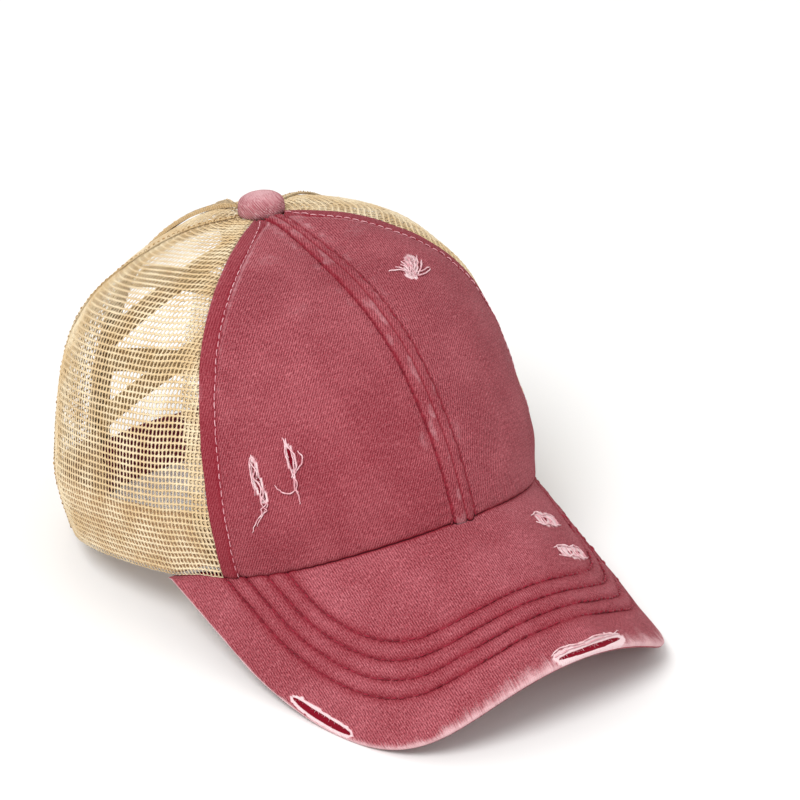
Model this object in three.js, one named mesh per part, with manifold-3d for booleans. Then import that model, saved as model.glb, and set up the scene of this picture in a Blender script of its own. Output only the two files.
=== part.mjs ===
// Ponytail baseball cap: washed cloth front and brim, net sides and back,
// an arched opening down the back crossed by elastic, and a cloth closure below it.
// Millimetres, +Z up. The brim points along -Y, and the wearer's left is +X.
// The origin is on the surface that the cap rests on, below the middle of its length.

import * as THREE from 'three';
import { mergeVertices } from 'three/addons/utils/BufferGeometryUtils.js';
import Module from 'manifold-3d';

const wasm = await Module();
wasm.setup();

// Crown, measured square to the rim
const RIM_HALF_WIDTH = 86;
const RIM_FRONT_REACH = 126.5;
const RIM_BACK_REACH = 74;
const CROWN_HEIGHT = 117;
const BUTTON_SHIFT = 13.5;
const BACK_RIM_SAG = 5.8;
const WALL = 1.6;
const GAP = 0.3;

// Resting pose: the cap leans back on its brim's sides and its back rim
const LEAN = THREE.MathUtils.degToRad(10.9);
const PIVOT_HEIGHT = 17.2;

// Seams, as angles round the crown from the middle of the front
const FRONT_SEAM_ANGLE = THREE.MathUtils.degToRad(57.3);
const FRONT_SEAM_SWAY = THREE.MathUtils.degToRad(2.4);
const BACK_SEAM_ANGLE = THREE.MathUtils.degToRad(118);

// Raised double-stitched seam up the middle of the front
const CENTRE_SEAM_WIDTH = 11.4;
const CENTRE_SEAM_TOP_WIDTH = 7;
const CENTRE_SEAM_RISE = 0.8;

// Button
const BUTTON_RADIUS = 9.5;
const BUTTON_HEIGHT = 6.2;
const BUTTON_POST_RADIUS = 5;
const BUTTON_POST_LENGTH = 4;
const BUTTON_HOLE_RADIUS = 8;

// Brim: a flat-cut sheet, bent round the front-to-back line and sloping down to the front
const BRIM_LENGTH = 70.5;
const BRIM_HALF_WIDTH = 102;
const BRIM_THICKNESS = 3;
const BRIM_SLOPE = THREE.MathUtils.degToRad(33.5);
const BRIM_BEND_RADIUS = 68.5;
const BRIM_BEND_EASE = 0.53;
const BRIM_MIDDLE_HEIGHT = 16.4;
const BRIM_WIDEST_BACK = 11.7;
const BRIM_TAIL_LENGTH = 48;
const BRIM_TAIL_FLARE = 3.3;
const BRIM_SIDE_POWER = 0.39;
const BRIM_FRONT_POWER = 1.44;
const BRIM_POINT_SPACING = 2.2;
const BRIM_CORNER_ANGLE = THREE.MathUtils.degToRad(69);
const BRIM_LEVEL_ANGLE = THREE.MathUtils.degToRad(60);
const BRIM_SETTLE_REACH = 20;
const BRIM_SEAT_GAP = 0.8;

// Sweatband
const BAND_HEIGHT = 28;
const BAND_WALL = 1.3;

// Arched opening and the tape that binds it
const OPENING_HALF_WIDTH = 35;
const OPENING_TOP_STATION = 0.87;
const TAPE_WIDTH = 10;
const TAPE_WALL = 1.2;
const TAPE_TOP_STATION = 0.93;
const TAPE_OVERHANG = 1;

// Elastic straps
const ELASTIC_WIDTH = 10;
const ELASTIC_WALL = 1.1;
const ELASTIC_TUCK = 8;
const ELASTIC_PULL_IN = 1.2;

// Closure strap and the tab behind it
const CLOSURE_HEIGHT = 19;
const CLOSURE_WALL = 1.5;
const CLOSURE_OVERLAP = 11;
const CLOSURE_TUCK = 8;
const TAB_WALL = 1.3;
const TAB_EXTRA_HEIGHT = 3;
const TAB_LENGTH = 52;
const TAB_PULL_IN = 3.5;

// Leather patch
const PATCH_WIDTH = 28;
const PATCH_HEIGHT = 17;
const PATCH_WALL = 1.2;
const PATCH_FROM_TAPE = 17;
const PATCH_ABOVE_RIM = 2.5;

// Outline of the crown at equal steps from the rim to the button. Height is a share of the crown
// height, and front, side and back are shares of the three reaches of the rim. Shift is the share
// of the button's shift towards the front.
const LEVELS = [
  { height: 0.000, front: 1.000, side: 1.000, back: 1.000, shift: 0.00 },
  { height: 0.191, front: 0.962, side: 1.057, back: 0.962, shift: 0.01 },
  { height: 0.351, front: 0.911, side: 1.035, back: 0.915, shift: 0.04 },
  { height: 0.494, front: 0.846, side: 0.995, back: 0.866, shift: 0.09 },
  { height: 0.622, front: 0.765, side: 0.947, back: 0.820, shift: 0.16 },
  { height: 0.734, front: 0.657, side: 0.879, back: 0.768, shift: 0.24 },
  { height: 0.828, front: 0.526, side: 0.775, back: 0.700, shift: 0.35 },
  { height: 0.902, front: 0.378, side: 0.626, back: 0.596, shift: 0.47 },
  { height: 0.956, front: 0.242, side: 0.452, back: 0.451, shift: 0.61 },
  { height: 0.989, front: 0.127, side: 0.258, back: 0.266, shift: 0.77 },
  { height: 1.000, front: 0.000, side: 0.000, back: 0.000, shift: 1.00 },
];

// Elastic straps: each end is given as a share of the way down the opening's edge, and layer says
// how many straps of a crossing lie outside it.
const STRAPS = [
  { name: 'elastic_upper_outer', left: 0.27, right: 0.52, layer: 0 },
  { name: 'elastic_upper_inner', left: 0.54, right: 0.24, layer: 1 },
  { name: 'elastic_lower_outer', left: 0.63, right: 0.87, layer: 0 },
  { name: 'elastic_lower_inner', left: 0.91, right: 0.60, layer: 1 },
];

const ROSE = 0xa84a5a;
const ROSE_PALE = 0xd28a9a;
const ROSE_DARK = 0x8e3048;
const NET = 0xe2c9a0;
const TAPE = 0xd2b184;
const ELASTIC = 0xe3c48c;
const LEATHER = 0x8b4a22;

const { lerp, smoothstep, clamp } = THREE.MathUtils;

// A column of the level table at a station from 0, the rim, to 1, the button
function level(column, station) {
  const steps = LEVELS.length - 1;
  const place = clamp(station, 0, 1) * steps;
  const row = Math.min(Math.floor(place), steps - 1);
  const at = (k) => LEVELS[clamp(k, 0, steps)][column];
  const t = place - row;
  const a = at(row - 1);
  const b = at(row);
  const c = at(row + 1);
  const d = at(row + 2);
  return b + 0.5 * t * (c - a + t * (2 * a - 5 * b + 4 * c - d + t * (3 * (b - c) + d - a)));
}

// Share of the rim's reach at an angle and a station
function reach(angle, station) {
  const ahead = Math.max(Math.cos(angle), 0) ** 2;
  const behind = Math.max(-Math.cos(angle), 0) ** 2;
  const side = level('side', station);
  return side + ahead * (level('front', station) - side) + behind * (level('back', station) - side);
}

// Sideways place and drop of the bent brim sheet at an arc length from its middle line
function bend(arc) {
  const steps = 24;
  const place = { side: 0, drop: 0 };
  for (let k = 0; k < steps; k++) {
    const along = Math.abs(arc) * (k + 0.5) / steps;
    const turn = along / BRIM_BEND_RADIUS - BRIM_BEND_EASE * (along / 100) ** 3;
    place.side += Math.cos(turn) * Math.abs(arc) / steps;
    place.drop += Math.sin(turn) * Math.abs(arc) / steps;
  }
  place.side *= Math.sign(arc);
  return place;
}

// Arc length on the sheet that lies at a sideways place
function arcAt(side) {
  let low = 0;
  let high = BRIM_HALF_WIDTH * 1.4;
  for (let k = 0; k < 30; k++) {
    const middle = (low + high) / 2;
    if (bend(middle).side < Math.abs(side)) low = middle;
    else high = middle;
  }
  return (low + high) / 2;
}

// Height of the sheet's top over a plan place, before it settles against the rim
function sheetHeight(x, y) {
  const { drop } = bend(arcAt(x));
  const along = (-(y + RIM_FRONT_REACH) + drop * Math.sin(BRIM_SLOPE)) / Math.cos(BRIM_SLOPE);
  return BRIM_MIDDLE_HEIGHT - along * Math.sin(BRIM_SLOPE) - drop * Math.cos(BRIM_SLOPE);
}

// How much the rim follows the brim at a plan place: 1 in front, 0 from the brim's corners back
function followsBrim(x, y) {
  const angle = Math.atan2(Math.abs(x) / RIM_HALF_WIDTH, -y / RIM_FRONT_REACH);
  return 1 - smoothstep(angle, BRIM_LEVEL_ANGLE, BRIM_CORNER_ANGLE);
}

// Height of the rim's lower edge over a plan place
function rimHeight(x, y) {
  const follow = followsBrim(x, y);
  const sag = BACK_RIM_SAG * smoothstep(y / RIM_BACK_REACH, 0, 1);
  return follow > 0 ? follow * sheetHeight(x, y) + BRIM_SEAT_GAP : BRIM_SEAT_GAP - sag;
}

// Outer surface of the crown
function crownSurface(angle, station) {
  const share = reach(angle, station);
  const ahead = Math.cos(angle);
  const length = ahead > 0 ? RIM_FRONT_REACH : RIM_BACK_REACH;
  const x = RIM_HALF_WIDTH * Math.sin(angle);
  const y = -length * ahead;
  const low = rimHeight(x, y);
  const height = low + (CROWN_HEIGHT - low) * level('height', station);
  return new THREE.Vector3(x * share, y * share - BUTTON_SHIFT * level('shift', station), height);
}

// Outward normal of the crown
function crownNormal(angle, station) {
  const step = 0.004;
  const low = clamp(station - step, 0, 1);
  const high = clamp(station + step, 0, 1);
  const round = crownSurface(angle + step, station).sub(crownSurface(angle - step, station));
  const up = crownSurface(angle, high).sub(crownSurface(angle, low));
  return round.cross(up).normalize();
}

// A point at a depth inside the crown's outer surface, with its lower edge on the rim line
function crownPoint(angle, station, depth) {
  const outer = crownSurface(angle, station);
  const point = outer.clone().addScaledVector(crownNormal(angle, station), -depth);
  const foot = crownSurface(angle, 0);
  const inner = foot.clone().addScaledVector(crownNormal(angle, 0), -depth);
  const change = rimHeight(inner.x, inner.y) - inner.z;
  point.z += change * (1 - smoothstep(level('height', station), 0, 0.25));
  return point;
}

// Station where the crown reaches the hole below the button
function topStation(angle) {
  let low = 0.8;
  let high = 1;
  for (let k = 0; k < 24; k++) {
    const middle = (low + high) / 2;
    const point = crownSurface(angle, middle);
    if (Math.hypot(point.x, point.y + BUTTON_SHIFT) > BUTTON_HOLE_RADIUS) low = middle;
    else high = middle;
  }
  return (low + high) / 2;
}

// Station where the wall is a given height above the level rim
function stationAtHeight(height) {
  let low = 0;
  let high = 1;
  for (let k = 0; k < 24; k++) {
    const middle = (low + high) / 2;
    if (level('height', middle) * CROWN_HEIGHT < height) low = middle;
    else high = middle;
  }
  return (low + high) / 2;
}

// Angle change that makes a distance along the wall
function angleFor(distance, angle, station) {
  const step = 0.01;
  const span = crownSurface(angle + step, station).distanceTo(crownSurface(angle - step, station));
  return distance * 2 * step / Math.max(span, 0.01);
}

// Angle whose sideways place is a distance from the middle of the front or back
function angleAtSide(side, station, column) {
  const width = RIM_HALF_WIDTH * level(column, station);
  return Math.asin(clamp(side / Math.max(width, 0.01), 0, 0.97));
}

// Closed wall over a grid. place(u, v, w) gives a point, with w from 0, outside, to 1, inside.
function wall(columns, rows, place) {
  const points = [];
  for (const w of [0, 1]) {
    for (let row = 0; row <= rows; row++) {
      for (let column = 0; column <= columns; column++) {
        points.push(...place(column / columns, row / rows, w).toArray());
      }
    }
  }
  const at = (column, row, w) => (w * (rows + 1) + row) * (columns + 1) + column;
  const index = [];
  const quad = (a, b, c, d) => index.push(a, b, c, a, c, d);
  for (let row = 0; row < rows; row++) {
    for (let column = 0; column < columns; column++) {
      const right = column + 1;
      const above = row + 1;
      quad(at(column, row, 0), at(right, row, 0), at(right, above, 0), at(column, above, 0));
      quad(at(column, row, 1), at(column, above, 1), at(right, above, 1), at(right, row, 1));
    }
  }
  for (let column = 0; column < columns; column++) {
    const right = column + 1;
    quad(at(column, 0, 0), at(column, 0, 1), at(right, 0, 1), at(right, 0, 0));
    quad(at(column, rows, 0), at(right, rows, 0), at(right, rows, 1), at(column, rows, 1));
  }
  for (let row = 0; row < rows; row++) {
    const above = row + 1;
    quad(at(0, row, 0), at(0, above, 0), at(0, above, 1), at(0, row, 1));
    quad(at(columns, row, 0), at(columns, row, 1), at(columns, above, 1), at(columns, above, 0));
  }
  const geometry = new THREE.BufferGeometry();
  geometry.setAttribute('position', new THREE.Float32BufferAttribute(points, 3));
  geometry.setIndex(index);
  return facingOut(geometry);
}

// Turns the faces round where the volume comes out negative
function facingOut(geometry) {
  const position = geometry.attributes.position;
  const index = geometry.index.array;
  const corners = [new THREE.Vector3(), new THREE.Vector3(), new THREE.Vector3()];
  let volume = 0;
  for (let k = 0; k < index.length; k += 3) {
    corners.forEach((corner, n) => corner.fromBufferAttribute(position, index[k + n]));
    volume += corners[0].dot(corners[1].clone().cross(corners[2]));
  }
  if (volume < 0) {
    for (let k = 0; k < index.length; k += 3) {
      [index[k + 1], index[k + 2]] = [index[k + 2], index[k + 1]];
    }
  }
  return geometry;
}

function toSolid(geometry) {
  const bare = geometry.clone();
  bare.deleteAttribute('normal');
  bare.deleteAttribute('uv');
  const merged = mergeVertices(bare, 1e-3);
  return new wasm.Manifold(new wasm.Mesh({
    numProp: 3,
    vertProperties: new Float32Array(merged.attributes.position.array),
    triVerts: new Uint32Array(merged.index.array),
  }));
}

function fromSolid(solid) {
  const mesh = solid.getMesh();
  const geometry = new THREE.BufferGeometry();
  geometry.setAttribute('position', new THREE.Float32BufferAttribute(mesh.vertProperties, 3));
  geometry.setIndex(new THREE.Uint32BufferAttribute(mesh.triVerts, 1));
  return geometry;
}

// Leans a piece back into its resting pose
function lean(geometry) {
  geometry.rotateX(-LEAN);
  geometry.translate(0, 0, PIVOT_HEIGHT);
  return geometry;
}

// Presses a piece flat where it meets the surface
function pressFlat(geometry) {
  const slab = new THREE.BoxGeometry(600, 600, 100);
  slab.translate(0, 0, -50);
  return fromSolid(toSolid(geometry).subtract(toSolid(slab)));
}

const cap = new THREE.Group();

function add(name, geometry, colour, roughness, side = 1) {
  if (side < 0) {
    geometry.scale(-1, 1, 1);
    facingOut(geometry);
  }
  geometry.deleteAttribute('normal');
  geometry.computeVertexNormals();
  const material = new THREE.MeshStandardMaterial({ color: colour, roughness, metalness: 0 });
  const mesh = new THREE.Mesh(geometry, material);
  mesh.name = name;
  cap.add(mesh);
}

function centreSeamHalfWidth(station) {
  const width = lerp(CENTRE_SEAM_WIDTH, CENTRE_SEAM_TOP_WIDTH, smoothstep(station, 0.55, 0.95));
  return width / 2;
}

function frontSeamAngle(station) {
  return FRONT_SEAM_ANGLE + FRONT_SEAM_SWAY * Math.sin(Math.PI * station);
}

// Half width of an arch at a station, from its top station and its width at the rim
function archHalfWidth(station, top, base) {
  const down = clamp((top - station) / top, 0, 1);
  return base * Math.sin(down * Math.PI / 2);
}

function openingHalfWidth(station) {
  return archHalfWidth(station, OPENING_TOP_STATION, OPENING_HALF_WIDTH);
}

// Angle of the back net's free edge: the opening's edge, or the middle of the back above it
function openingAngle(station, extra) {
  const side = openingHalfWidth(station) + extra;
  return Math.PI - angleAtSide(side, station, 'back');
}

// A panel between two edges, each given as an angle that changes with the station
function panel(columns, rows, from, to) {
  return wall(columns, rows, (u, v, w) => {
    const station = v * topStation(lerp(from(0), to(0), u));
    const angle = lerp(from(station), to(station), u);
    return crownPoint(angle, station, w * WALL);
  });
}

// An edge set half a gap to one side of a seam
function beside(seam, sign) {
  return (station) => {
    const angle = seam(station);
    return angle + sign * angleFor(GAP / 2, angle, station);
  };
}

function frontPanel() {
  const inner = (station) => angleAtSide(centreSeamHalfWidth(station) + GAP, station, 'front');
  return panel(12, 20, inner, beside(frontSeamAngle, -1));
}

function sideNet() {
  return panel(12, 18, beside(frontSeamAngle, 1), beside(() => BACK_SEAM_ANGLE, -1));
}

function backNet() {
  return panel(9, 22, beside(() => BACK_SEAM_ANGLE, 1), (station) => {
    const setBack = station < OPENING_TOP_STATION ? TAPE_OVERHANG : GAP / 2;
    return openingAngle(station, setBack);
  });
}

function centreSeam() {
  return wall(4, 20, (u, v, w) => {
    const station = v * topStation(0);
    const edge = angleAtSide(centreSeamHalfWidth(station), station, 'front');
    const crest = CENTRE_SEAM_RISE * (1 - (2 * u - 1) ** 4);
    return crownPoint(lerp(-edge, edge, u), station, w === 0 ? -crest : WALL);
  });
}

// Outline of the brim on its flat sheet, from -1, its right corner, to 1, its left corner
function brimOutline(u) {
  const curved = 0.8;
  const turn = clamp(Math.abs(u) / curved, 0, 1) ** BRIM_POINT_SPACING * Math.PI / 2;
  const tail = clamp((Math.abs(u) - curved) / (1 - curved), 0, 1);
  const out = BRIM_HALF_WIDTH * Math.sin(turn) ** BRIM_SIDE_POWER + BRIM_TAIL_FLARE * tail;
  const ahead = (BRIM_LENGTH + BRIM_WIDEST_BACK) * Math.max(Math.cos(turn), 0) ** BRIM_FRONT_POWER;
  return { across: Math.sign(u) * out, along: ahead - BRIM_WIDEST_BACK - BRIM_TAIL_LENGTH * tail };
}

// Inner edge of the brim on its flat sheet, below the inner face of the crown's wall
function brimInnerEdge(u) {
  const angle = u * BRIM_CORNER_ANGLE;
  const foot = crownPoint(angle, 0, WALL);
  const arc = arcAt(foot.x);
  const { drop } = bend(arc);
  const along = (-(foot.y + RIM_FRONT_REACH) + drop * Math.sin(BRIM_SLOPE)) / Math.cos(BRIM_SLOPE);
  return { across: Math.sign(u) * arc, along };
}

// A point of the brim at a place on its flat sheet and a depth below its top
function brimPoint(across, along, depth) {
  const { side, drop } = bend(across);
  const down = -drop - depth;
  const turn = Math.abs(across) / BRIM_BEND_RADIUS - BRIM_BEND_EASE * (Math.abs(across) / 100) ** 3;
  const x = side - Math.sign(across) * depth * Math.sin(turn);
  const normalDrop = down + depth * (1 - Math.cos(turn));
  const y = -RIM_FRONT_REACH - along * Math.cos(BRIM_SLOPE) - normalDrop * Math.sin(BRIM_SLOPE);
  const z = BRIM_MIDDLE_HEIGHT - along * Math.sin(BRIM_SLOPE) + normalDrop * Math.cos(BRIM_SLOPE);
  return new THREE.Vector3(x, y, z);
}

// How far the brim's top settles onto the rim line near its corners
function brimSettle(point) {
  const share = Math.hypot(point.x / RIM_HALF_WIDTH, point.y / RIM_FRONT_REACH) - 1;
  const near = 1 - smoothstep(share * RIM_HALF_WIDTH, 2, BRIM_SETTLE_REACH);
  const lowered = (1 - followsBrim(point.x, point.y)) * point.z;
  return near * Math.max(lowered, 0);
}

function brim() {
  return wall(48, 8, (u, v, w) => {
    const across = 2 * u - 1;
    const outer = brimOutline(across);
    const inner = brimInnerEdge(across);
    const flat = {
      across: lerp(inner.across, outer.across, v),
      along: lerp(inner.along, outer.along, v),
    };
    const top = brimPoint(flat.across, flat.along, 0);
    const point = brimPoint(flat.across, flat.along, w * BRIM_THICKNESS);
    point.z -= brimSettle(top);
    return point;
  });
}

function sweatband() {
  const outside = WALL + 2 * GAP;
  const top = stationAtHeight(BAND_HEIGHT);
  return wall(48, 3, (u, v, w) => {
    const station = v * top;
    const end = openingAngle(station, ELASTIC_TUCK + 2);
    return crownPoint(lerp(-end, end, u), station, outside + w * BAND_WALL);
  });
}

// Tape down one edge of the opening, outside the net
function openingTape() {
  return wall(3, 22, (u, v, w) => {
    const down = 1 - v;
    const inner = OPENING_TOP_STATION * down;
    const outer = TAPE_TOP_STATION * down;
    const station = lerp(inner, outer, u);
    const near = archHalfWidth(inner, OPENING_TOP_STATION, OPENING_HALF_WIDTH) + GAP / 2;
    const far = archHalfWidth(outer, TAPE_TOP_STATION, OPENING_HALF_WIDTH + TAPE_WIDTH) + GAP / 2;
    const angle = Math.PI - angleAtSide(lerp(near, far, u), station, 'back');
    return crownPoint(angle, station, -GAP - (1 - w) * TAPE_WALL);
  });
}

// Station at a share of the way down from the opening's top to the top of the closure
function edgeStation(share) {
  const top = CROWN_HEIGHT * level('height', OPENING_TOP_STATION);
  return stationAtHeight(lerp(top, CLOSURE_HEIGHT, share));
}

// Middle line of an elastic strap at a share of its length from the left edge
function strapPlace(strap, share) {
  const leftStation = edgeStation(strap.left);
  const rightStation = edgeStation(strap.right);
  const leftSide = openingHalfWidth(leftStation) + ELASTIC_TUCK;
  const rightSide = openingHalfWidth(rightStation) + ELASTIC_TUCK;
  const station = lerp(leftStation, rightStation, share);
  const side = lerp(leftSide, -rightSide, share);
  const angle = Math.PI - Math.sign(side) * angleAtSide(Math.abs(side), station, 'back');
  const edge = openingHalfWidth(station) + ELASTIC_TUCK;
  const taut = ELASTIC_PULL_IN * (1 - Math.min(Math.abs(side) / edge, 1) ** 2);
  const depth = WALL + 2 * GAP + taut + strap.layer * (ELASTIC_WALL + 2 * GAP);
  return { angle, station, depth };
}

function elasticStrap(strap) {
  return wall(16, 2, (u, v, w) => {
    const { angle, station, depth } = strapPlace(strap, u);
    const step = 0.01;
    const ahead = strapPlace(strap, u + step);
    const behind = strapPlace(strap, u - step);
    const along = crownSurface(ahead.angle, ahead.station)
      .sub(crownSurface(behind.angle, behind.station)).normalize();
    const out = crownNormal(angle, station);
    const across = out.clone().cross(along).normalize();
    const centre = crownSurface(angle, station).addScaledVector(out, -depth - w * ELASTIC_WALL);
    return centre.addScaledVector(across, (v - 0.5) * ELASTIC_WIDTH);
  });
}

// Angle past the middle of the back for a distance to the left of it along the rim
function backAngle(left) {
  return Math.PI - Math.sign(left) * angleAtSide(Math.abs(left), 0, 'back');
}

// Outer strap: tucked below the left tape and lying over the right one
function closureStrap() {
  const start = OPENING_HALF_WIDTH + CLOSURE_TUCK;
  const end = -(OPENING_HALF_WIDTH + CLOSURE_OVERLAP);
  const top = stationAtHeight(CLOSURE_HEIGHT);
  const tucked = WALL + GAP;
  const proud = -(2 * GAP + TAPE_WALL + CLOSURE_WALL);
  return wall(24, 3, (u, v, w) => {
    const left = lerp(start, end, u);
    const cross = smoothstep(left, -OPENING_HALF_WIDTH + 2, OPENING_HALF_WIDTH - 2);
    const depth = lerp(proud, tucked, cross);
    return crownPoint(backAngle(left), v * top, depth + w * CLOSURE_WALL);
  });
}

// Inner tab: tucked below the right tape and reaching behind the strap
function closureTab() {
  const start = -(OPENING_HALF_WIDTH + CLOSURE_TUCK);
  const end = start + TAB_LENGTH;
  const top = stationAtHeight(CLOSURE_HEIGHT + TAB_EXTRA_HEIGHT);
  return wall(14, 3, (u, v, w) => {
    const left = lerp(start, end, u);
    const inward = TAB_PULL_IN * smoothstep(u, 0.1, 0.8);
    return crownPoint(backAngle(left), v * top, WALL + GAP + inward + w * TAB_WALL);
  });
}

function leatherPatch() {
  const low = stationAtHeight(PATCH_ABOVE_RIM);
  const high = stationAtHeight(PATCH_ABOVE_RIM + PATCH_HEIGHT);
  return wall(8, 3, (u, v, w) => {
    const station = lerp(low, high, v);
    const edge = openingAngle(station, TAPE_WIDTH + PATCH_FROM_TAPE);
    const angle = edge - angleFor(u * PATCH_WIDTH, edge, station);
    return crownPoint(angle, station, -GAP - (1 - w) * PATCH_WALL);
  });
}

// Flattened dome with a post down through the crown's hole
function crownButton() {
  const profile = [new THREE.Vector2(0, -BUTTON_POST_LENGTH)];
  profile.push(new THREE.Vector2(BUTTON_POST_RADIUS, -BUTTON_POST_LENGTH));
  profile.push(new THREE.Vector2(BUTTON_POST_RADIUS, 0));
  profile.push(new THREE.Vector2(BUTTON_RADIUS - 0.8, 0));
  const rounds = 6;
  for (let k = 0; k <= rounds; k++) {
    const turn = (k / rounds) * Math.PI / 2;
    const radius = k === rounds ? 0 : BUTTON_RADIUS * Math.cos(turn) ** 0.7;
    profile.push(new THREE.Vector2(radius, 1.6 + (BUTTON_HEIGHT - 1.6) * Math.sin(turn)));
  }
  const dome = new THREE.LatheGeometry(profile, 22);
  dome.rotateX(Math.PI / 2);
  dome.translate(0, -BUTTON_SHIFT, CROWN_HEIGHT + GAP);
  dome.deleteAttribute('normal');
  dome.deleteAttribute('uv');
  return facingOut(mergeVertices(dome, 1e-3));
}

for (const [hand, side] of [['left', 1], ['right', -1]]) {
  add(`front_panel_${hand}`, lean(frontPanel()), ROSE, 0.95, side);
  add(`side_net_${hand}`, pressFlat(lean(sideNet())), NET, 0.9, side);
  add(`back_net_${hand}`, pressFlat(lean(backNet())), NET, 0.9, side);
  add(`opening_tape_${hand}`, pressFlat(lean(openingTape())), TAPE, 0.9, side);
}
add('centre_seam', lean(centreSeam()), ROSE, 0.95);
add('crown_button', lean(crownButton()), ROSE_PALE, 0.95);
add('brim', pressFlat(lean(brim())), ROSE, 0.95);
add('sweatband', pressFlat(lean(sweatband())), TAPE, 0.9);
for (const strap of STRAPS) {
  add(strap.name, lean(elasticStrap(strap)), ELASTIC, 0.8);
}
add('closure_strap', pressFlat(lean(closureStrap())), ROSE_DARK, 0.95);
add('closure_tab', pressFlat(lean(closureTab())), ROSE_DARK, 0.95);
add('leather_patch', pressFlat(lean(leatherPatch())), LEATHER, 0.6);

// Brings the middle of the cap's length over the origin
const box = new THREE.Box3().setFromObject(cap);
cap.position.y = -(box.min.y + box.max.y) / 2;

export default cap;
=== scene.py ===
"""Ponytail baseball cap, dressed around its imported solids.

Sizes are in millimetres until a piece is made. Every mesh is in metres, in the frame
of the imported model: +Z up, the brim along -Y, the wearer's left at +X, and the origin
on the surface that the cap rests on.

The crown is a form over an angle round the head and a station up its side. Each cloth
piece carries a UV map named flat, its place on the flat cut, in which one unit is
FLAT_UNIT millimetres, so that weaves and nets follow the cloth.
"""

from __future__ import annotations

import logging
import math
from dataclasses import dataclass, field
from enum import Enum
from typing import Callable

import bpy
import numpy as np
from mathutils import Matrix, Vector


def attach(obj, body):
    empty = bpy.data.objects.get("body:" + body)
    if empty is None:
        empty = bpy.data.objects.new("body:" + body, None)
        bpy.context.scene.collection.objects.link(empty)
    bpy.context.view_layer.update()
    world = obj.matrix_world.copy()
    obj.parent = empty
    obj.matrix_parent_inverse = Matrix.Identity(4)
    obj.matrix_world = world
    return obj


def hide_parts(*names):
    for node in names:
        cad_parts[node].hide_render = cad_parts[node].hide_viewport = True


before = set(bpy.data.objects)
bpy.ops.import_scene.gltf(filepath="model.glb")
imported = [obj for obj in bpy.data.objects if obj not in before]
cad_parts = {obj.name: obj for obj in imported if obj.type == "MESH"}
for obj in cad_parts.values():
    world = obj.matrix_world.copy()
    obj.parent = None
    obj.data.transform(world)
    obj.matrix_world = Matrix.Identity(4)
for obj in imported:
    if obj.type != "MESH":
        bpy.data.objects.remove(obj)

LOG = logging.getLogger("cap")
MM = 0.001
FLAT_UNIT = 200.0
BODY = "root"

# Least height of threads and nets above the floor, in metres.
CLEARANCE = 2e-5
# Edges sharper than this many degrees stay sharp.
CREASE = 55.0
NO_CREASE = 180.0

# Outline of the crown at equal steps from the rim to the button: height as a share of
# the crown's, front, side and back as shares of the rim's reaches, shift as a share of
# the button's.
LEVELS = np.array(
    [
        (0.000, 1.000, 1.000, 1.000, 0.00),
        (0.191, 0.962, 1.057, 0.962, 0.01),
        (0.351, 0.911, 1.035, 0.915, 0.04),
        (0.494, 0.846, 0.995, 0.866, 0.09),
        (0.622, 0.765, 0.947, 0.820, 0.16),
        (0.734, 0.657, 0.879, 0.768, 0.24),
        (0.828, 0.526, 0.775, 0.700, 0.35),
        (0.902, 0.378, 0.626, 0.596, 0.47),
        (0.956, 0.242, 0.452, 0.451, 0.61),
        (0.989, 0.127, 0.258, 0.266, 0.77),
        (1.000, 0.000, 0.000, 0.000, 1.00),
    ]
)

Edge = Callable[[np.ndarray], np.ndarray]


class Column(Enum):
    """Columns of the level table."""

    HEIGHT = 0
    FRONT = 1
    SIDE = 2
    BACK = 3
    SHIFT = 4


class Hand(Enum):
    """Side of the cap, as its wearer sees it."""

    LEFT = 1
    RIGHT = -1

    @property
    def word(self) -> str:
        """The side in lower case, for names."""
        return self.name.lower()


def lerp(start: np.ndarray | float, end: np.ndarray | float, share: np.ndarray | float) -> np.ndarray | float:
    """Straight mix of two values."""
    return start + (end - start) * share


def smoothstep(value: np.ndarray | float, low: float, high: float) -> np.ndarray:
    """Smooth rise from 0 at low to 1 at high."""
    share = np.clip((np.asarray(value, float) - low) / (high - low), 0, 1)
    return share * share * (3 - 2 * share)


def ripple(points: np.ndarray, wavelength: float, seed: int, waves: int = 10) -> np.ndarray:
    """Smooth uneven field, about -1 to 1, from a few waves in random directions.

    Args:
        points: places in millimetres, with the last axis as coordinates.
        wavelength: typical distance between two crests.
        seed: fixes the waves.
        waves: how many are summed.

    Returns:
        The field at each place.
    """
    rng = np.random.default_rng(seed)
    size = points.shape[-1]
    total = np.zeros(points.shape[:-1])
    for _ in range(waves):
        heading = rng.normal(size=size)
        heading /= np.linalg.norm(heading)
        length = wavelength * rng.uniform(0.65, 1.6)
        total += np.sin(points @ heading * (2 * math.pi / length) + rng.uniform(0, 2 * math.pi))
    return total / math.sqrt(waves)


def path_distance(points: np.ndarray, path: np.ndarray) -> np.ndarray:
    """Distance of each point to a polyline, in the units of both.

    Args:
        points: array of places, any shape, with coordinates on the last axis.
        path: corners of the polyline.

    Returns:
        The distances, in the shape of points without its last axis.
    """
    flat = points.reshape(-1, points.shape[-1])
    best = np.full(len(flat), np.inf)
    for start, end in zip(path[:-1], path[1:]):
        run = end - start
        share = np.clip((flat - start) @ run / max(float(run @ run), 1e-12), 0, 1)
        best = np.minimum(best, np.linalg.norm(flat - start - share[:, None] * run, axis=1))
    return best.reshape(points.shape[:-1])


def spread(count: int, ends: tuple[float, ...] = (0.0, 0.0015, 0.004, 0.008)) -> np.ndarray:
    """Shares from 0 to 1 that stand closer together near both ends."""
    low = np.array(ends)
    middle = np.linspace(ends[-1], 1 - ends[-1], count)[1:-1]
    return np.concatenate([low, middle, 1 - low[::-1]])


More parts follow.
